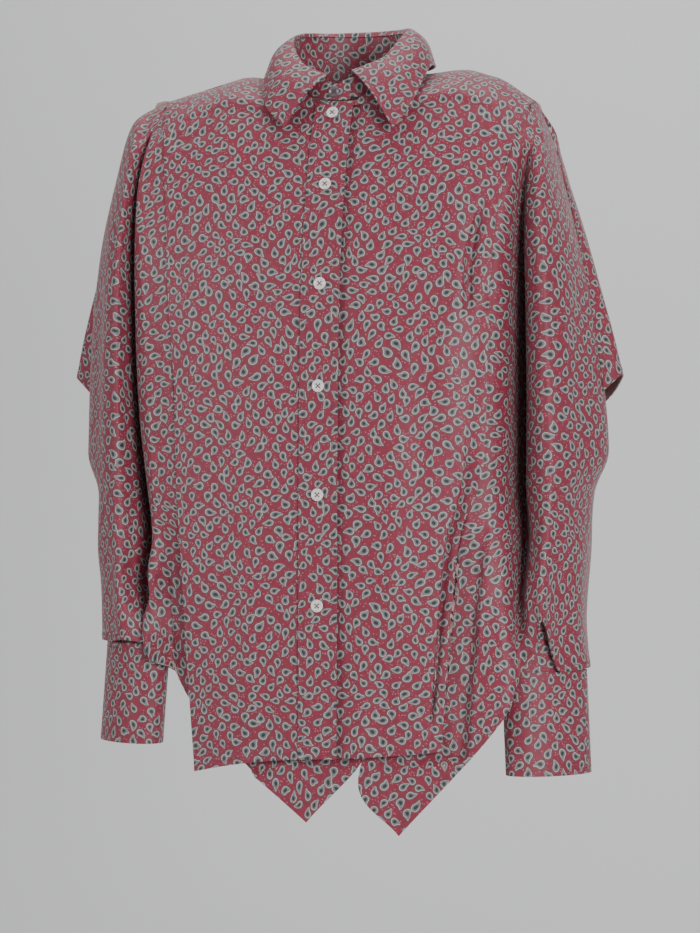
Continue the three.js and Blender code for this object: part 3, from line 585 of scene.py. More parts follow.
def sleeve_grid(side, s, r):
    """The sleeve cloth as a grid of points, under the fronts and the back, with its soft folds."""
    free = grid(lambda a, b: sleeve_free(side, a, b), s, r)
    ss, _ = np.meshgrid(s, r)
    lap = (lerp(SEWN_LAP, FREE_LAP, smooth(r, 0.66, 0.76)) - 0.8 * (1 - smooth(r, 0, 0.06)))[:, None]
    front = keep_clear(free, guides_of("fronts"), lap, -1)
    rear = keep_clear(free, guides_of("back"), LAP, -1)
    p = np.where((ss < 0)[..., None], front, rear)
    n = outward_normals(p, mirrored(SLEEVE_MIDDLE, side))
    folds = fold_height(SLEEVE_FOLDS[side], p[..., 0], p[..., 2])
    return p + n * (folds * smooth(np.abs(ss), 0.0, 0.12) * smooth(r, 0.05, 0.15)[:, None])[..., None]


def grid_normals(p, closed=False):
    if closed:
        wrapped = np.concatenate([p[:, -1:], p, p[:, :1]], axis=1)
        across = (wrapped[:, 2:] - wrapped[:, :-2])
    else:
        across = np.gradient(p, axis=1)
    return unit(np.cross(across, np.gradient(p, axis=0)))


def outward_normals(p, middle, closed=False):
    """The directions square to a grid of cloth, on the side away from a middle point."""
    n = grid_normals(p, closed)
    return -n if np.sum(n * (p - middle)) < 0 else n


def mirrored(place, side):
    return np.array([side * place[0], place[1], place[2]])


def cosine_basis(n):
    k = np.arange(n)[:, None]
    basis = np.cos(math.pi * k * (np.arange(n)[None, :] + 0.5) / n)
    return basis / np.linalg.norm(basis, axis=1, keepdims=True)


def unroll(p, rounds=40):
    """Flattens a grid of cloth with as little stretch as possible, in metres.

    Each face keeps its own shape and turns freely, and all the faces are then fitted together.
    """
    across, down = p[:, 1:] - p[:, :-1], p[1:] - p[:-1]
    a = (across[:-1] + across[1:]) / 2
    b = (down[:, :-1] + down[:, 1:]) / 2
    a_size = np.maximum(np.linalg.norm(a, axis=-1), 1e-9)
    b_along = np.sum(a * b, axis=-1) / a_size
    b_up = np.sqrt(np.maximum(np.sum(b * b, axis=-1) - b_along ** 2, 1e-9))
    rows, columns = p.shape[:2]
    row_basis, column_basis = cosine_basis(rows), cosine_basis(columns)
    weight = (2 - 2 * np.cos(math.pi * np.arange(rows) / rows))[:, None] \
        + (2 - 2 * np.cos(math.pi * np.arange(columns) / columns))[None, :]
    weight[0, 0] = 1
    x = np.concatenate([np.zeros((rows, 1)), np.cumsum(np.linalg.norm(across, axis=-1), axis=1)], axis=1)
    y = np.concatenate([np.zeros((1, columns)), np.cumsum(np.linalg.norm(down, axis=-1), axis=0)], axis=0)
    uv = np.stack([x - x[:, columns // 2][:, None], y - y[rows // 2][None, :]], axis=-1)
    for _ in range(rounds):
        ua, ub = uv[:, 1:] - uv[:, :-1], uv[1:] - uv[:-1]
        ua, ub = (ua[:-1] + ua[1:]) / 2, (ub[:, :-1] + ub[:, 1:]) / 2
        cosine = ua[..., 0] * a_size + ub[..., 0] * b_along + ub[..., 1] * b_up
        sine = ua[..., 1] * a_size + ub[..., 1] * b_along - ub[..., 0] * b_up
        size = np.maximum(np.hypot(cosine, sine), 1e-9)
        cosine, sine = cosine / size, sine / size
        ta = np.stack([cosine * a_size, sine * a_size], axis=-1)
        tb = np.stack([cosine * b_along - sine * b_up, sine * b_along + cosine * b_up], axis=-1)
        edge_a = np.concatenate([ta[:1], (ta[:-1] + ta[1:]) / 2, ta[-1:]], axis=0)
        edge_b = np.concatenate([tb[:, :1], (tb[:, :-1] + tb[:, 1:]) / 2, tb[:, -1:]], axis=1)
        source = np.zeros_like(uv)
        source[:, 1:] += edge_a
        source[:, :-1] -= edge_a
        source[1:] += edge_b
        source[:-1] -= edge_b
        for axis in (0, 1):
            spectrum = row_basis @ source[..., axis] @ column_basis.T / weight
            spectrum[0, 0] = 0
            uv[..., axis] = row_basis.T @ spectrum @ column_basis
    return uv * MM


def add_object(name, mesh):
    obj = bpy.data.objects.new(name, mesh)
    bpy.context.collection.objects.link(obj)
    return obj


def take_result(obj, name):
    """Makes what the object's modifiers give its own mesh."""
    view = bpy.context.evaluated_depsgraph_get()
    view.update()
    made = bpy.data.meshes.new_from_object(obj.evaluated_get(view))
    obj.modifiers.clear()
    obj.data = made
    obj.data.name = name


def lay_cloth(name, p, thickness, closed, middle, twist, reverse):
    """A closed wall of cloth from the grid of its middle surface, with its own cloth coordinates."""
    rows, columns = p.shape[:2]
    n = outward_normals(p, middle, closed)
    half = (np.broadcast_to(thickness, (rows, columns)) / 2)[..., None]
    layers = np.concatenate([(p + n * half).reshape(-1, 3), (p - n * half).reshape(-1, 3)])
    uv = unroll(np.concatenate([p, p[:, :1]], axis=1) if closed else p).reshape(-1, 2) + twist
    index = np.arange(rows * columns).reshape(rows, columns)
    place = np.arange(len(uv)).reshape(rows, -1)
    if closed:
        index = np.concatenate([index, index[:, :1]], axis=1)

    def quads(grid, second):
        a, b, c, d = grid[:-1, :-1], grid[:-1, 1:], grid[1:, 1:], grid[1:, :-1]
        outer = np.stack([a, b, c, d], axis=-1).reshape(-1, 4)
        rims = []
        edges = [(grid[0, :-1], grid[0, 1:], True), (grid[-1, :-1], grid[-1, 1:], False)]
        if not closed:
            edges += [(grid[:-1, 0], grid[1:, 0], False), (grid[:-1, -1], grid[1:, -1], True)]
        for e, f, turn in edges:
            quad = np.stack([f, e, e + second, f + second], axis=-1)
            rims.append(quad if turn else quad[:, ::-1])
        return np.concatenate([outer, outer[:, ::-1] + second, *rims]), len(outer)

    faces, count = quads(index, rows * columns)
    corners, _ = quads(place, 0)
    volume = np.sum(layers[faces[:, 0]] * np.cross(layers[faces[:, 1]], layers[faces[:, 2]])) \
        + np.sum(layers[faces[:, 0]] * np.cross(layers[faces[:, 2]], layers[faces[:, 3]]))
    if volume < 0:
        faces, corners = faces[:, ::-1], corners[:, ::-1]
    mesh = bpy.data.meshes.new(name)
    mesh.from_pydata((layers * MM).tolist(), [], faces.tolist())
    layer = mesh.uv_layers.new(name="cloth")
    layer.data.foreach_set("uv", uv[corners.ravel()].ravel())
    mesh.materials.append(cloth_material())
    if reverse:
        mesh.materials.append(reverse_material())
        facing = np.zeros(len(faces), np.int32)
        facing[count:2 * count] = 1
        mesh.polygons.foreach_set("material_index", facing)
    mesh.shade_smooth()
    mesh.set_sharp_from_angle(angle=math.radians(50))
    return add_object(name, mesh)


def edge_lengths(p, edge):
    """Points, and how far each is from one edge of a grid, with that edge as the first row."""
    turned = {"first": p, "last": p[::-1], "left": p.swapaxes(0, 1), "right": p.swapaxes(0, 1)[::-1]}[edge]
    step = np.linalg.norm(np.diff(turned, axis=0), axis=-1)
    return turned, np.concatenate([np.zeros((1, step.shape[1])), np.cumsum(step, axis=0)])


def hemmed(p, edges, thickness):
    """The thickness of a sheet that is turned over once along some of its edges."""
    total = np.full(p.shape[:2], float(thickness))
    for edge in edges:
        _, far = edge_lengths(p, edge)
        fold = HEM_EXTRA * (1 - smooth(far, HEM - 0.8, HEM + 0.8))
        fold = {"first": fold, "last": fold[::-1], "left": fold.T, "right": fold[::-1].T}[edge]
        total = np.maximum(total, thickness + fold)
    return total


def hem_steps(count, length, ends="first"):
    """Evenly spaced values from 0 to 1, with a few more beside the fold of a hem."""
    near = np.array([HEM * 0.5, HEM - 0.9, HEM, HEM + 0.9]) / length
    even = np.linspace(0, 1, count)
    more = [near] if ends == "first" else [1 - near] if ends == "last" else [near, 1 - near]
    return np.unique(np.concatenate([even, *more]))


def stitch_group():
    """Short stitches at even steps along each line of a mesh."""
    name = "Stitch Rows"
    if name in bpy.data.node_groups:
        return bpy.data.node_groups[name]
    tree = bpy.data.node_groups.new(name, "GeometryNodeTree")
    tree.interface.new_socket("Geometry", in_out="INPUT", socket_type="NodeSocketGeometry")
    for label, value in (("Pitch", 0.003), ("Stitch Length", 0.0021), ("Thread Radius", 0.00022)):
        socket = tree.interface.new_socket(label, in_out="INPUT", socket_type="NodeSocketFloat")
        socket.default_value = value
        socket.subtype = "DISTANCE"
    tree.interface.new_socket("Thread", in_out="INPUT", socket_type="NodeSocketMaterial")
    tree.interface.new_socket("Geometry", in_out="OUTPUT", socket_type="NodeSocketGeometry")
    kinds = ("NodeGroupInput", "NodeGroupOutput", "GeometryNodeMeshToCurve", "GeometryNodeResampleCurve",
             "GeometryNodeInputTangent", "FunctionNodeAlignRotationToVector", "GeometryNodeMeshCylinder",
             "GeometryNodeInstanceOnPoints", "GeometryNodeRealizeInstances", "GeometryNodeSetMaterial")
    source, result, curve, even, tangent, turn, stitch, place, real, paint = map(tree.nodes.new, kinds)
    even.mode = "LENGTH"
    turn.axis = "Z"
    stitch.inputs["Vertices"].default_value = 5
    for a, b in (
        (source.outputs["Geometry"], curve.inputs["Mesh"]),
        (curve.outputs["Curve"], even.inputs["Curve"]),
        (source.outputs["Pitch"], even.inputs["Length"]),
        (even.outputs["Curve"], place.inputs["Points"]),
        (tangent.outputs["Tangent"], turn.inputs["Vector"]),
        (turn.outputs["Rotation"], place.inputs["Rotation"]),
        (source.outputs["Stitch Length"], stitch.inputs["Depth"]),
        (source.outputs["Thread Radius"], stitch.inputs["Radius"]),
        (stitch.outputs["Mesh"], place.inputs["Instance"]),
        (place.outputs["Instances"], real.inputs["Geometry"]),
        (real.outputs["Geometry"], paint.inputs["Geometry"]),
        (source.outputs["Thread"], paint.inputs["Material"]),
        (paint.outputs["Geometry"], result.inputs["Geometry"]),
    ):
        tree.links.new(a, b)
    return tree


def thread_material():
    name = "Sewing Thread"
    return bpy.data.materials.get(name) or plain_material(name, (0.16, 0.035, 0.05), 0.7)


def sew_rows(name, p, thickness, middle, edges, closed, inset):
    """Rows of stitches on the outside of a sheet, a little in from some of its edges."""
    n = outward_normals(p, middle, closed)
    p = p + n * (np.broadcast_to(thickness, p.shape[:2]) / 2 + 0.05)[..., None]
    points, lines = [], []
    for edge in edges:
        turned, far = edge_lengths(p, edge)
        path = np.array([[np.interp(inset, far[:, k], turned[:, k, axis]) for axis in range(3)]
                         for k in range(turned.shape[1])])
        if closed:
            path = np.concatenate([path, path[:1]])
        else:
            along = np.concatenate([[0], np.cumsum(np.linalg.norm(np.diff(path, axis=0), axis=-1))])
            path = path[(along > inset * 0.8) & (along < along[-1] - inset * 0.8)]
        first = len(points)
        points += (path * MM).tolist()
        lines += [(first + k, first + k + 1) for k in range(len(path) - 1)]
    mesh = bpy.data.meshes.new(name)
    mesh.from_pydata(points, lines, [])
    obj = add_object(name, mesh)
    rows = obj.modifiers.new("Stitches", "NODES")
    rows.node_group = stitch_group()
    for item in rows.node_group.interface.items_tree:
        if item.name == "Thread":
            rows[item.identifier] = thread_material()
    take_result(obj, name)
    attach(obj, BODY)


def declare_cloth(obj, p, node):
    """Hides the solid that the piece stands for, and hangs the piece on the body."""
    across, down = p[:-1, 1:] - p[:-1, :-1], p[1:, :-1] - p[:-1, :-1]
    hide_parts(node)
    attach(obj, BODY)


def make_piece(node, p, edges=(), middle=(0.0, 0.0, 0.0), band=False, closed=False, twist=0.0,
               inset=STITCH_INSET):
    """A piece of cloth, stitched along some edges: a doubled band, or one layer that is hemmed there."""
    thickness = BAND if band else hemmed(p, edges, cloth_thickness())
    obj = lay_cloth(node + "_cloth", p, thickness, closed, middle, twist, not band)
    declare_cloth(obj, p, node)
    if edges:
        sew_rows(node + "_stitches", p, thickness, middle, edges, closed, inset)


def new_material(name):
    material = bpy.data.materials.new(name)
    material.use_nodes = True
    return material


class Sum:
    """A socket that can be written in sums, so that a formula reads as one."""

    def __init__(self, tree, socket):
        self.tree = tree
        self.socket = socket

    def math(self, operation, *others):
        node = self.tree.nodes.new("ShaderNodeMath")
        node.operation = operation
        for i, value in enumerate((self, *others)):
            if isinstance(value, Sum):
                self.tree.links.new(value.socket, node.inputs[i])
            else:
                node.inputs[i].default_value = value
        return Sum(self.tree, node.outputs[0])

    def __add__(self, other):
        return self.math("ADD", other)

    def __sub__(self, other):
        return self.math("SUBTRACT", other)

    def __mul__(self, other):
        return self.math("MULTIPLY", other)

    def __truediv__(self, other):
        return self.math("DIVIDE", other)

    def below(self, edge, soft):
        """1 below an edge and 0 above it, with a soft step."""
        node = self.tree.nodes.new("ShaderNodeMapRange")
        node.interpolation_type = "SMOOTHSTEP"
        self.tree.links.new(self.socket, node.inputs["Value"])
        node.inputs["From Min"].default_value = edge - soft
        node.inputs["From Max"].default_value = edge + soft
        node.inputs["To Min"].default_value = 1
        node.inputs["To Max"].default_value = 0
        return Sum(self.tree, node.outputs["Result"])


def mix_colour(tree, low, high, share):
    node = tree.nodes.new("ShaderNodeMix")
    node.data_type = "RGBA"
    for key, value in (("A", low), ("B", high)):
        socket = next(s for s in node.inputs if s.name == key and s.type == "RGBA")
        if isinstance(value, bpy.types.NodeSocket):
            tree.links.new(value, socket)
        else:
            socket.default_value = value
    tree.links.new(share.socket, node.inputs[0])
    return next(s for s in node.outputs if s.type == "RGBA")


def mask_group(name, numbers, masks):
    """A new group of shader nodes that reads the cloth's own coordinates and puts out masks or distances."""
    tree = bpy.data.node_groups.new(name, "ShaderNodeTree")
    tree.interface.new_socket("Cloth", in_out="INPUT", socket_type="NodeSocketVector")
    for label, value in numbers:
        tree.interface.new_socket(label, in_out="INPUT", socket_type="NodeSocketFloat").default_value = value
    for label in masks:
        tree.interface.new_socket(label, in_out="OUTPUT", socket_type="NodeSocketFloat")
    return tree, tree.nodes.new("NodeGroupInput"), tree.nodes.new("NodeGroupOutput")


def motif_group():
    """One lattice of paisley drops, a drop in each cell: how far a spot is from its drop's edge and seed."""
    name = "Paisley Lattice"
    if name in bpy.data.node_groups:
        return bpy.data.node_groups[name]
    numbers = (("Cell", 20.0), ("Shift", 0.0), ("Drop Size", 1.0))
    tree, source, result = mask_group(name, numbers, ("Edge", "Seed"))
    split = tree.nodes.new("ShaderNodeSeparateXYZ")
    tree.links.new(source.outputs["Cloth"], split.inputs[0])
    cell = Sum(tree, source.outputs["Cell"])
    shift = Sum(tree, source.outputs["Shift"])
    x = Sum(tree, split.outputs[0]) * 1000 / cell + shift
    y = Sum(tree, split.outputs[1]) * 1000 / cell + shift
    column, row = x.math("FLOOR"), y.math("FLOOR")
    join = tree.nodes.new("ShaderNodeCombineXYZ")
    for i, value in enumerate((column, row, shift)):
        tree.links.new(value.socket, join.inputs[i])
    noise = tree.nodes.new("ShaderNodeTexWhiteNoise")
    noise.noise_dimensions = "3D"
    tree.links.new(join.outputs[0], noise.inputs["Vector"])
    chance = tree.nodes.new("ShaderNodeSeparateColor")
    tree.links.new(noise.outputs["Color"], chance.inputs[0])
    value = Sum(tree, noise.outputs["Value"])
    # The drops lean to either side, and point up or down by chance.
    turn = Sum(tree, chance.outputs[2]) * 2.6 - 1.3 + value.math("GREATER_THAN", 0.5) * math.pi
    flip = (value * 7).math("FRACT").math("GREATER_THAN", 0.5) * 2 - 1
    px = (x - column - 0.5) * cell + (Sum(tree, chance.outputs[0]) - 0.5) * DROP_MOVE
    py = (y - row - 0.5) * cell + (Sum(tree, chance.outputs[1]) - 0.5) * DROP_MOVE
    size = Sum(tree, source.outputs["Drop Size"]) * ((value * 13).math("FRACT") * 0.14 + 0.93)
    cosine, sine = turn.math("COSINE"), turn.math("SINE")
    qx = (px * cosine - py * sine) * flip / size
    base = (px * sine + py * cosine) / size + 1.2
    # The drop narrows from its round end to a tip that curls to one side.
    up = base.math("MAXIMUM", 0)
    low = base.math("MINIMUM", 0)
    bx = qx - up * up * 0.13 + up * 0.16
    share = (up / DROP_LENGTH).math("MINIMUM", 1)
    width = (share * -1 + 1).math("POWER", 0.56) * (share * 0.25 + 1) * DROP_RADIUS
    edge = (bx * bx + low * low).math("SQRT") - width + (up - DROP_LENGTH).math("MAXIMUM", 0)
    seed_y = (base - 0.5) * 0.7
    seed = (bx * bx + seed_y * seed_y).math("SQRT")
    tree.links.new(edge.socket, result.inputs["Edge"])
    tree.links.new(seed.socket, result.inputs["Seed"])
    return tree


def paisley_group():
    """Masks of a tossed paisley, from two lattices that stand in each other's gaps."""
    name = "Tossed Paisley"
    if name in bpy.data.node_groups:
        return bpy.data.node_groups[name]
    labels = ("Halo", "Rim", "Fill", "Seed", "Dots")
    tree, source, result = mask_group(name, (("Cell", 20.0), ("Drop Size", 1.0)), labels)
    # The lattices are bent a little, so that no straight row of drops shows.
    bend = tree.nodes.new("ShaderNodeTexNoise")
    bend.inputs["Scale"].default_value = 18
    bend.inputs["Detail"].default_value = 0
    tree.links.new(source.outputs["Cloth"], bend.inputs["Vector"])
    bent = tree.nodes.new("ShaderNodeVectorMath")
    bent.operation = "MULTIPLY_ADD"
    bent.inputs[1].default_value = (0.016, 0.016, 0)
    tree.links.new(bend.outputs["Color"], bent.inputs[0])
    tree.links.new(source.outputs["Cloth"], bent.inputs[2])
    edges, seeds = [], []
    for shift in (0.0, 0.5):
        lattice = tree.nodes.new("ShaderNodeGroup")
        lattice.node_tree = motif_group()
        lattice.inputs["Shift"].default_value = shift
        tree.links.new(bent.outputs[0], lattice.inputs["Cloth"])
        for label in ("Cell", "Drop Size"):
            tree.links.new(source.outputs[label], lattice.inputs[label])
        edges.append(Sum(tree, lattice.outputs["Edge"]))
        seeds.append(Sum(tree, lattice.outputs["Seed"]))
    edge = edges[0].math("MINIMUM", edges[1])
    seed = seeds[0].math("MINIMUM", seeds[1])
    # Pin dots are strewn evenly between the drops.
    strewn = tree.nodes.new("ShaderNodeTexVoronoi")
    strewn.inputs["Scale"].default_value = 400
    strewn.inputs["Randomness"].default_value = 0.7
    tree.links.new(source.outputs["Cloth"], strewn.inputs["Vector"])
    dots = Sum(tree, strewn.outputs["Distance"]).below(0.26, 0.1)
    # Each mask ends at a distance from a drop's edge (inside it when negative) or seed, over a soft step.
    inside = edge.below(-0.58, 0.25)
    masks = (edge.below(1.2, 0.9) * 0.85, edge.below(-0.05, 0.25), inside, seed.below(1.4, 0.4) * inside,
             dots * (edge.below(1.3, 0.4) * -1 + 1))
    for label, value in zip(labels, masks):
        tree.links.new(value.socket, result.inputs[label])
    return tree


def reverse_material():
    """The unprinted side of the cloth, where the print shows through only faintly, drawn as one plain,
    slightly cloudy colour without the print.
    """
    name = "Satin Reverse"
    return bpy.data.materials.get(name) or plain_material(name, (0.44, 0.30, 0.28), 0.6)


def print_material(name, colours):
    """Printed soft satin: the paisley on its crimson ground, a fine weave and a low sheen."""
    material = new_material(name)
    tree = material.node_tree
    shader = tree.nodes["Principled BSDF"]
    cloth = tree.nodes.new("ShaderNodeUVMap")
    cloth.uv_map = "cloth"
    group = tree.nodes.new("ShaderNodeGroup")
    group.node_tree = paisley_group()
    group.inputs["Cell"].default_value = colours.cell / MM
    group.inputs["Drop Size"].default_value = colours.drop_size
    tree.links.new(cloth.outputs[0], group.inputs["Cloth"])
    patch = tree.nodes.new("ShaderNodeTexNoise")
    patch.inputs["Scale"].default_value = 170
    tree.links.new(cloth.outputs[0], patch.inputs["Vector"])
    patches = Sum(tree, patch.outputs["Fac"])
    colour = mix_colour(tree, (*colours.ground, 1), (*colours.ground_light, 1), patches)
    for mask, paint in (("Dots", colours.dots), ("Halo", colours.halo), ("Rim", colours.rim),
                        ("Fill", colours.fill), ("Seed", colours.seed)):
        colour = mix_colour(tree, colour, (*paint, 1), Sum(tree, group.outputs[mask]))
    tree.links.new(colour, shader.inputs["Base Color"])
    shader.inputs["Roughness"].default_value = 0.52
    shader.inputs["Specular IOR Level"].default_value = 0.3
    shader.inputs["Sheen Weight"].default_value = 0.12
    shader.inputs["Sheen Roughness"].default_value = 0.4
    shader.inputs["Sheen Tint"].default_value = (1.0, 0.82, 0.84, 1)
    weave = tree.nodes.new("ShaderNodeTexNoise")
    weave.inputs["Scale"].default_value = 900
    tree.links.new(cloth.outputs[0], weave.inputs["Vector"])
    bump = tree.nodes.new("ShaderNodeBump")
    bump.inputs["Strength"].default_value = 0.15
    bump.inputs["Distance"].default_value = 0.0004
    tree.links.new(weave.outputs["Fac"], bump.inputs["Height"])
    tree.links.new(bump.outputs[0], shader.inputs["Normal"])
    return material


def plain_material(name, colour, roughness, **settings):
    """A plain surface that is a little cloudy."""
    material = new_material(name)
    shader = material.node_tree.nodes["Principled BSDF"]
    tree = material.node_tree
    place = tree.nodes.new("ShaderNodeTexCoord")
    cloud = tree.nodes.new("ShaderNodeTexNoise")
    cloud.inputs["Scale"].default_value = 220
    tree.links.new(place.outputs["Object"], cloud.inputs["Vector"])
    light = tuple(min(c * 1.15, 1) for c in colour) + (1,)
    dark = tuple(c * 0.85 for c in colour) + (1,)
    cloudy = mix_colour(tree, dark, light, Sum(tree, cloud.outputs["Fac"]))
    tree.links.new(cloudy, shader.inputs["Base Color"])
    shader.inputs["Roughness"].default_value = roughness
    for key, value in settings.items():
        shader.inputs[key.replace("_", " ").title()].default_value = value
    return material


def cloth_material():
    name = "Printed Satin"
    return bpy.data.materials.get(name) or print_material(name, bpy.context.scene.shirt_print)


class ShirtPrint(bpy.types.PropertyGroup):
    ground: bpy.props.FloatVectorProperty(
        name="Ground", description="Crimson ground of the print", subtype="COLOR", size=3,
        default=(0.14, 0.030, 0.044))
    ground_light: bpy.props.FloatVectorProperty(
        name="Light Ground", description="Lighter patches of the ground", subtype="COLOR", size=3,
        default=(0.31, 0.026, 0.058))
    dots: bpy.props.FloatVectorProperty(
        name="Dots", description="Pin dots on the ground", subtype="COLOR", size=3,
        default=(0.36, 0.16, 0.19))
    halo: bpy.props.FloatVectorProperty(
        name="Halo", description="Mauve edge round each drop", subtype="COLOR", size=3,
        default=(0.13, 0.060, 0.066))
    rim: bpy.props.FloatVectorProperty(
        name="Rim", description="Pale outline of each drop", subtype="COLOR", size=3,
        default=(0.47, 0.46, 0.45))
    fill: bpy.props.FloatVectorProperty(
        name="Fill", description="Body of each drop", subtype="COLOR", size=3,
        default=(0.18, 0.178, 0.178))
    seed: bpy.props.FloatVectorProperty(
        name="Seed", description="Dark seed of each drop", subtype="COLOR", size=3,
        default=(0.032, 0.040, 0.046))
    cell: bpy.props.FloatProperty(
        name="Cell", description="Size of a square that holds two drops", subtype="DISTANCE", unit="LENGTH",
        default=0.0164)
    drop_size: bpy.props.FloatProperty(name="Drop Size", description="Scale of each drop", default=1.03)


class ShirtSizes(bpy.types.PropertyGroup):
    thickness: bpy.props.FloatProperty(
        name="Cloth Thickness", description="Thickness of the cloth", subtype="DISTANCE", unit="LENGTH",
        default=0.0009)
    light_power: bpy.props.FloatProperty(
        name="Light", description="Strength of the studio light", default=1.0)
    backdrop: bpy.props.FloatVectorProperty(
        name="Backdrop", description="Colour of the floor and the wall", subtype="COLOR", size=3,
        default=(0.7, 0.7, 0.7))


def cloth_thickness():
    return bpy.context.scene.shirt_sizes.thickness / MM


class SHIRT_OT_fronts(bpy.types.Operator):
    """Makes the two front panels and the button band"""
    bl_idname = "shirt.fronts"
    bl_label = "Fronts"

    def execute(self, context):
        u = np.unique(np.concatenate([
            np.linspace(0, 0.82, 36), np.linspace(0.82, 0.965, 26), np.linspace(0.965, 1, 8)]))
        v = hem_steps(190, 715)
        for node, surface in (("front_right", front_right), ("front_left", front_left)):
            make_piece(node, grid(surface, u, v), ["first"])
        p = grid(placket, np.linspace(0, 1, 25), np.linspace(0, 0.88, 180))
        make_piece("placket", p, ["left", "right"], band=True)
        return {"FINISHED"}


class SHIRT_OT_back(bpy.types.Operator):
    """Makes the back panel"""
    bl_idname = "shirt.back"
    bl_label = "Back"

    def execute(self, context):
        p = grid(back, np.linspace(-1, 1, 97), hem_steps(180, 700))
        make_piece("back", p, ["first"])
        return {"FINISHED"}


def cuff_ring(side, angle, down, grow=0.0):
    """A place on the cuff's flattened ring, from its top (down 0) to its lower edge (down 1)."""
    top_x, top_y, top_z, low_x, low_y = CUFF[side]
    a = angle + CUFF_TURN
    long, short = CUFF_LONG + grow, CUFF_SHORT + grow
    along_x = long * np.cos(a) * math.cos(CUFF_TURN) + short * np.sin(a) * math.sin(CUFF_TURN)
    along_y = long * np.cos(a) * math.sin(CUFF_TURN) - short * np.sin(a) * math.cos(CUFF_TURN)
    return xyz(side * (lerp(top_x, low_x, down) + along_x), lerp(top_y, low_y, down) + along_y,
               top_z - down * CUFF_DEPTH)


def lower_sleeve_grid(side, angles, v):
    """The lower sleeve: its top lies inside the sleeve cloth and its lower end inside the cuff."""
    inside = CLOTH + SEAM * 9
    turn = np.arctan2(np.sin(angles), np.cos(angles))
    limit = np.clip(turn, -LOWER_WRAP, LOWER_WRAP)
    s = np.concatenate([-0.5 * limit / LOWER_WRAP, [0.5, -0.5]])
    around = sleeve_grid(side, np.linspace(-RING_SPAN, RING_SPAN, 113), np.linspace(RING_FROM, 1, 15))
    row = (LOWER_FROM - RING_FROM) / RING_STEP
    low, part = int(row), row - int(row)
    line = lerp(around[low], around[low + 1], part)
    place = (s + RING_SPAN) / RING_STEP
    i = np.clip(place.astype(int), 0, 111)
    ring = lerp(line[i], line[i + 1], (place - i)[:, None])
    n = grid_normals(around)[low][i]
    centre = xyz(side * ARM_X, 0.0, 0.0)
    facing = np.sign(np.sum(n[:, :2] * (ring - centre)[:, :2], axis=1))
    ring = ring - n * (inside * facing)[:, None]
    back_end, front_end = ring[-2], ring[-1]
    upper = ring[:-2].copy()
    beyond = np.abs(turn) > LOWER_WRAP
    part = (np.abs(turn) - LOWER_WRAP) / (math.pi - LOWER_WRAP) / 2
    for k in np.nonzero(beyond)[0]:
        near, far = (front_end, back_end) if turn[k] > 0 else (back_end, front_end)
        upper[k] = lerp(near, far, part[k])
    above = CUFF[side][2] + 4
    rows = []
    for t in v:
        down = 0.1 * max(0, 2 * t - 1)
        lower = cuff_ring(side, angles, down, -(CLOTH + BAND) / 2 - SEAM)
        p = lerp(upper, lower, float(smooth(t, 0, 0.5)))
        p[:, 2] = lerp(upper[:, 2], above, t * 2) if t < 0.5 else lower[:, 2]
        rows.append(p)
    p = np.array(rows)
    outer = guide_points(around, centre)
    kept = keep_clear(p, [outer], inside + 3, -1)
    share = smooth(v, 0, 0.08) * (1 - smooth(v, 0.3, 0.42))
    return p + (kept - p) * share[:, None, None]


class SHIRT_OT_sleeves(bpy.types.Operator):
    """Makes the draped sleeves, the lower sleeves and the cuffs"""
    bl_idname = "shirt.sleeves"
    bl_label = "Sleeves and Cuffs"

    def execute(self, context):
        s = np.concatenate([
            np.linspace(-1, -0.74, 40)[:-1], np.linspace(-0.74, 0.74, 150), np.linspace(0.74, 1, 40)[1:]])
        r = hem_steps(130, 560, "last")
        angles = np.linspace(0, 2 * math.pi, 97)[:-1]
        for side, word in ((LEFT, "left"), (RIGHT, "right")):
            sleeve, lower, cuff = f"sleeve_{word}", f"lower_sleeve_{word}", f"cuff_{word}"
            make_piece(sleeve, sleeve_grid(side, s, r), ["last"],
                       mirrored(SLEEVE_MIDDLE, side), twist=0.3 * side)
            make_piece(lower, lower_sleeve_grid(side, angles, np.linspace(0, 1, 40)),
                       middle=mirrored(LOWER_MIDDLE, side), closed=True, twist=0.7)
            p = np.array([cuff_ring(side, angles, t) for t in np.linspace(0, 1, 34)])
            make_piece(cuff, p, ["first", "last"], mirrored(CUFF_MIDDLE, side),
                       band=True, closed=True, twist=0.5)
        return {"FINISHED"}


def stand_point(w, v):
    deg = np.maximum(180 - 180 * np.abs(w), 0)
    row = row_at(STAND_TABLE, deg)
    radius = lerp(row["lowR"], row["topR"], v) - LAP * smooth(w, 0.78, 0.95)
    angle = math.pi * w
    return lean(xyz(radius * np.sin(angle), radius * np.cos(angle), lerp(row["lowZ"], row["topZ"], v)))


def collar_point(w, v):
    row = row_at(COLLAR_TABLE, w)
    fold = xyz(row["foldX"], row["foldY"], row["foldZ"])
    edge = xyz(row["edgeX"], row["edgeY"], row["edgeZ"])
    start = stand_point(np.arctan2(fold[..., 0], fold[..., 1]) / math.pi, np.ones_like(w))
    start[..., 2] += BAND / 2 + SEAM * 2
    fold[..., 2] = np.maximum(fold[..., 2], start[..., 2] + 3.5)
    middle = lerp(fold, edge, 0.45)
    middle += unit(xyz(fold[..., 0], fold[..., 1], 0 * fold[..., 0])) * 5
    middle[..., 2] += 4
    return through_points([(0, start), (FOLD_AT, fold), (0.55, middle), (1, edge)], v)


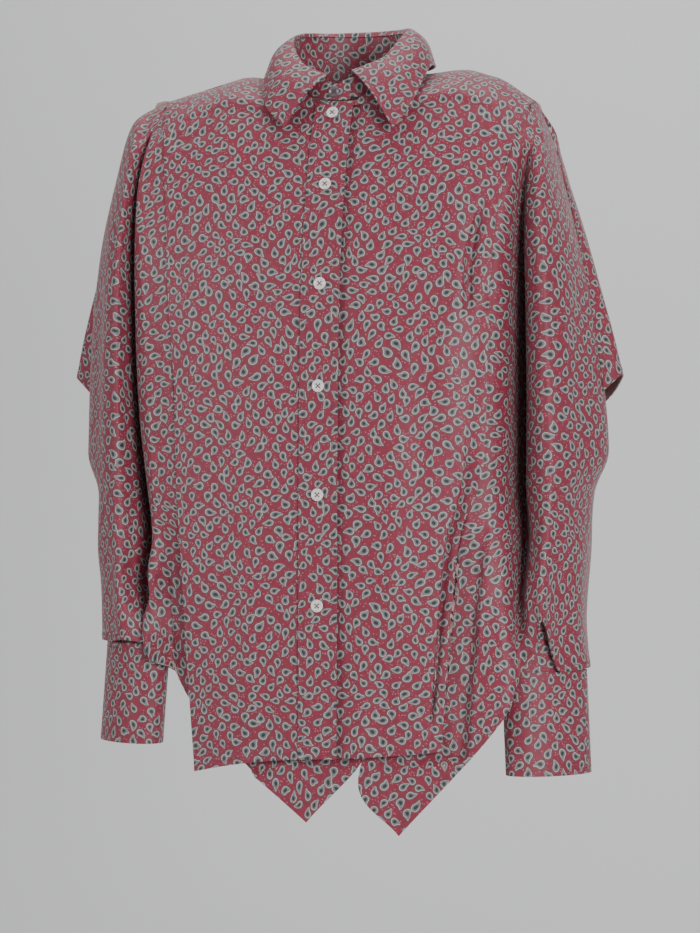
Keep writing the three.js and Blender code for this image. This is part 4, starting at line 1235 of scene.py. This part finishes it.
class SHIRT_OT_collar(bpy.types.Operator):
    """Makes the collar stand and the turned-down collar"""
    bl_idname = "shirt.collar"
    bl_label = "Collar"

    def execute(self, context):
        # The stand goes a little way down behind the neck seam and up into the collar.
        p = grid(stand_point, np.linspace(-1.08, 1.08, 150), np.linspace(-0.1, 1.02, 18))
        make_piece("collar_stand", p, ["first"], band=True, twist=0.9, inset=3.0)
        v = np.concatenate([np.linspace(0, 0.3, 16)[:-1], np.linspace(0.3, 1, 24)])
        p = grid(collar_point, np.linspace(-1, 1, 150), v)
        make_piece("collar", p, ["last", "left", "right"], band=True, twist=1.1)
        return {"FINISHED"}


def cape_grid(w, v):
    """The cape: ribs that fall from the neck and shoulders, laid clear of the sleeves and the back."""
    ww, vv = np.meshgrid(w, v)
    side = np.where(ww < 0, -1.0, 1.0)
    rows = {s: row_at(CAPES[s], np.abs(ww)) for s in (LEFT, RIGHT)}
    row = {k: np.where(side > 0, rows[LEFT][k], rows[RIGHT][k]) for k in CAPE_COLUMNS}
    top = xyz(row["topX"], row["topY"], row["topZ"])
    off = top + xyz(row["offX"], row["offY"], row["offZ"])
    hem = xyz(row["hemX"], row["hemY"], row["hemZ"])
    hang = hem + xyz(-row["flare"], 0 * row["flare"], (row["topZ"] - row["hemZ"]) * 0.42)
    t = vv[..., None]
    p = top * (1 - t) ** 3 + off * 3 * t * (1 - t) ** 2 + hang * 3 * t * t * (1 - t) + hem * t ** 3
    p[..., 0] *= side
    p = lean(p)
    free = p.copy()
    hug = smooth(np.abs(ww), 0.8, 1)
    clear = lerp(CAPE_TOUCH, lerp(CAPE_DRAPE, CAPE_TOUCH, hug), smooth(vv, 0, lerp(0.05, 0.3, hug)))
    sleeves = [guide_points(sleeve_grid(k, np.linspace(-0.45, 1, 120), np.linspace(0.03, 0.8, 90)),
                            np.array([k * SHOULDER_X, 0, 0])) for k in (LEFT, RIGHT)]
    for _ in range(3):
        p = keep_clear(p, sleeves, clear, 1)
        p = keep_clear(p, guides_of("back"), clear, 1)
    p = free + soften(p - free, 6)
    # The front edge lies on the sleeve as far as the elbow, then hangs free.
    place, n = nearest(sleeves[0], p)
    other, m = nearest(sleeves[1], p)
    left = (side > 0)[..., None]
    place, n = np.where(left, place, other), np.where(left, n, m)
    off = np.sum((p - place) * n, axis=-1)
    share = smooth(np.abs(ww), 0.78, 0.97) * (1 - smooth(vv, 0.4, 0.95))
    p -= n * (np.maximum(off - CAPE_TOUCH, 0) * share)[..., None]
    p = free + soften(p - free, 2)
    folds = fold_height(CAPE_FOLDS, p[..., 0], p[..., 2])
    p[..., 1] += np.maximum(folds, -2.4) * (1 - smooth(np.abs(ww), 0.6, 0.8))
    # The top edge covers the shoulder seam.
    top = p[0]
    out = (np.abs(top[:, 0]) - SHOULDER_X_IN) / (SHOULDER_X_OUT - SHOULDER_X_IN)
    seam_side = np.where(top[:, 0] > 0, 1.0, -1.0)
    edge = panel(FRONTS[LEFT], seam_side, np.clip(out, 0, 1), np.ones_like(out)) + np.array([0, 0.9, 0.1])
    share = smooth(out, 0, 0.12) * (1 - smooth(out, 0.97, 1.05))
    shift = (edge - top) * share[:, None]
    shift[:, 0] = 0
    return p + shift[None] * (1 - smooth(vv, 0, 0.07))[..., None]


class SHIRT_OT_cape(bpy.types.Operator):
    """Makes the cape that falls from the neck and shoulders over the back"""
    bl_idname = "shirt.cape"
    bl_label = "Cape"

    def execute(self, context):
        p = cape_grid(np.linspace(-1, 1, 221), hem_steps(110, 420, "last"))
        make_piece("cape", p, ["last", "left", "right"], twist=1.7)
        return {"FINISHED"}


def button_mesh(radius):
    """A turned button with a raised rim and a dished face; its four holes are cut once it is placed."""
    thick = 2.2
    profile = [(0.0, 0.0), (radius * 0.8, 0.0), (radius * 0.95, 0.3), (radius, 0.9), (radius, 1.6),
               (radius * 0.94, 2.05), (radius * 0.86, thick), (radius * 0.76, 2.05), (radius * 0.66, 1.6),
               (radius * 0.5, 1.5), (0.0, 1.5)]
    bm = bmesh.new()
    points = [bm.verts.new((x, 0, z)) for x, z in profile]
    edges = [bm.edges.new(pair) for pair in zip(points, points[1:])]
    bmesh.ops.spin(bm, geom=points + edges, cent=(0, 0, 0), axis=(0, 0, 1), angle=2 * math.pi, steps=48,
                   use_duplicate=False)
    bmesh.ops.remove_doubles(bm, verts=bm.verts, dist=1e-4)
    bmesh.ops.recalc_face_normals(bm, faces=bm.faces)
    return bm


def button_holes(radius):
    bm = bmesh.new()
    at = radius * HOLE_AT
    for x in (-at, at):
        for y in (-at, at):
            bmesh.ops.create_cone(
                bm, cap_ends=True, segments=16, radius1=radius * 0.12, radius2=radius * 0.12, depth=4,
                matrix=Matrix.Translation((x, y, 1.2)))
    return bm


def button_threads(radius):
    """Two crossed threads that lie from hole to hole."""
    bm = bmesh.new()
    length = radius * HOLE_AT * 2 * math.sqrt(2) + 0.8
    for angle, lift in ((math.pi / 4, 1.72), (-math.pi / 4, 1.9)):
        flat = Matrix.Rotation(angle, 4, "Z") @ Matrix.Rotation(math.pi / 2, 4, "Y")
        bmesh.ops.create_cone(bm, cap_ends=True, segments=8, radius1=0.34, radius2=0.34, depth=length,
                              matrix=Matrix.Translation((0, 0, lift)) @ flat)
    return bm


def placed_object(bm, name, matrix, material=None):
    """Puts a part of a button in its place as an object."""
    bmesh.ops.transform(bm, matrix=matrix, verts=bm.verts)
    mesh = bpy.data.meshes.new(name)
    bm.to_mesh(mesh)
    bm.free()
    if material is not None:
        mesh.materials.append(material)
    return add_object(name, mesh)


def make_button(name, node, radius, material, thread):
    low, high = (np.array(c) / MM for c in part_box(node))
    centre = (low + high) / 2
    facing = button_facing(node, centre)
    turn = Vector((0, 0, 1)).rotation_difference(Vector(facing)).to_matrix().to_4x4()
    matrix = Matrix.Scale(MM, 4) @ Matrix.Translation(centre - facing * 1.1) @ turn
    obj = placed_object(button_mesh(radius), name, matrix, material)
    obj.data.shade_smooth()
    holes = placed_object(button_holes(radius), name + "_holes", matrix)
    cut = obj.modifiers.new("Holes", "BOOLEAN")
    cut.object = holes
    cut.operation = "DIFFERENCE"
    cut.solver = "EXACT"
    take_result(obj, name)
    bpy.data.objects.remove(holes)
    obj.data.set_sharp_from_angle(angle=math.radians(35))
    sewn = placed_object(button_threads(radius), name + "_thread", matrix, thread)
    for piece, place in ((obj, "shell"), (sewn, "cloth")):
        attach(piece, BODY)
    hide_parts(node)


def button_facing(node, centre):
    """The way that a button looks: square to the cloth under it."""
    if node == "button_1":
        return np.array([0.0, -1.0, 0.0])
    if node.startswith("cuff_button"):
        side = LEFT if "left" in node else RIGHT
        down = 0.25 if node.endswith("1") else 0.75
        beside = cuff_ring(side, CUFF_BUTTON_AT + 0.01, down) - cuff_ring(side, CUFF_BUTTON_AT - 0.01, down)
        return unit(np.array([beside[1], -beside[0], 0.0]) * -side)
    levels = np.linspace(0, 0.88, 600)
    z = placket(np.full(600, 0.5), levels)[:, 2]
    v = levels[np.argmin(np.abs(z - centre[2]))]
    return normal_of(placket, np.array([0.5]), np.array([v]))[0]


class SHIRT_OT_buttons(bpy.types.Operator):
    """Makes the pearly buttons of the front and the cuffs, with their thread"""
    bl_idname = "shirt.buttons"
    bl_label = "Buttons"

    def execute(self, context):
        shell = plain_material("Pearly Shell", (0.74, 0.66, 0.66), 0.22, coat_weight=0.6)
        dark = plain_material("Dark Shell", (0.12, 0.09, 0.10), 0.25, coat_weight=0.6)
        thread = plain_material("Button Thread", (0.07, 0.03, 0.035), 0.8)
        for node in sorted(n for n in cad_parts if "button" in n):
            radius = CUFF_BUTTON_RADIUS if node.startswith("cuff") else BUTTON_RADIUS
            if node == "button_1":
                radius = BUTTON_RADIUS * 0.9
            make_button(node + "_turned", node, radius, dark if node == "button_1" else shell, thread)
        return {"FINISHED"}


class SHIRT_OT_stage(bpy.types.Operator):
    """Makes the floor, the lights and the camera"""
    bl_idname = "shirt.stage"
    bl_label = "Stage"

    def execute(self, context):
        scene = context.scene
        settings = scene.shirt_sizes
        depth, floor_z, bend = 3.2, -1.25, 1.2
        profile = [(-6.0, floor_z), (depth - bend, floor_z)]
        for k in range(1, 13):
            a = (math.pi / 2) * k / 12
            profile.append((depth - bend + bend * math.sin(a), floor_z + bend - bend * math.cos(a)))
        profile.append((depth, 5.0))
        mesh = bpy.data.meshes.new("floor")
        points = [(x, y, z) for x in (-7.0, 7.0) for y, z in profile]
        n = len(profile)
        mesh.from_pydata(points, [], [(i, n + i, n + i + 1, i + 1) for i in range(n - 1)])
        mesh.shade_smooth()
        material = new_material("Pale Backdrop")
        shader = material.node_tree.nodes["Principled BSDF"]
        shader.inputs["Base Color"].default_value = (*settings.backdrop, 1)
        shader.inputs["Roughness"].default_value = 0.95
        mesh.materials.append(material)
        floor = bpy.data.objects.new("floor", mesh)
        scene.collection.objects.link(floor)
        world = bpy.data.worlds.new("Studio")
        world.use_nodes = True
        world.node_tree.nodes["Background"].inputs[0].default_value = (0.95, 0.97, 1.0, 1)
        world.node_tree.nodes["Background"].inputs[1].default_value = 0.28
        scene.world = world
        for name, place, size, power in (
            ("key", (2.1, -2.6, 0.2), 1.3, 86), ("fill", (-2.3, -2.1, 0.4), 1.3, 36),
            ("top", (0.0, -0.2, 2.3), 1.2, 8), ("wall", (0.0, 0.9, 2.2), 3.0, 76),
        ):
            lamp = bpy.data.lights.new(name, "AREA")
            lamp.size = size
            lamp.energy = power * settings.light_power
            obj = bpy.data.objects.new(name, lamp)
            obj.location = place
            aim = Vector((0, 3.0, 0)) if name == "wall" else Vector((0, 0, -0.35))
            obj.rotation_euler = (aim - Vector(place)).to_track_quat("-Z", "Y").to_euler()
            scene.collection.objects.link(obj)
        camera_data = bpy.data.cameras.new("camera")
        camera = bpy.data.objects.new("camera", camera_data)
        azimuth, distance, height = math.radians(14), 2.7, -0.388
        camera.location = (distance * math.sin(azimuth), -distance * math.cos(azimuth), height)
        camera.rotation_euler = (math.pi / 2, 0, azimuth)
        camera_data.lens = distance / MM * SENSOR / PICTURE_HEIGHT
        camera_data.clip_end = 50
        scene.collection.objects.link(camera)
        scene.camera = camera
        return {"FINISHED"}


class SHIRT_PT_panel(bpy.types.Panel):
    bl_idname = "SHIRT_PT_panel"
    bl_label = "Paisley Shirt"
    bl_space_type = "VIEW_3D"
    bl_region_type = "UI"
    bl_category = "Shirt"

    def draw(self, context):
        for group in (context.scene.shirt_sizes, context.scene.shirt_print):
            box = self.layout.box()
            for name in group.__annotations__:
                box.prop(group, name)
        for operator in OPERATORS:
            self.layout.operator(operator.bl_idname)


OPERATORS = (SHIRT_OT_stage, SHIRT_OT_fronts, SHIRT_OT_back, SHIRT_OT_sleeves, SHIRT_OT_collar, SHIRT_OT_cape,
             SHIRT_OT_buttons)
CLASSES = (ShirtPrint, ShirtSizes, *OPERATORS, SHIRT_PT_panel)


def register():
    for cls in CLASSES:
        bpy.utils.register_class(cls)
    bpy.types.Scene.shirt_print = bpy.props.PointerProperty(type=ShirtPrint)
    bpy.types.Scene.shirt_sizes = bpy.props.PointerProperty(type=ShirtSizes)


def unregister():
    del bpy.types.Scene.shirt_print
    del bpy.types.Scene.shirt_sizes
    for cls in reversed(CLASSES):
        bpy.utils.unregister_class(cls)


def main():
    register()
    for step in ("stage", "fronts", "back", "sleeves", "collar", "cape", "buttons"):
        getattr(bpy.ops.shirt, step)()


if __name__ == "__main__":
    main()
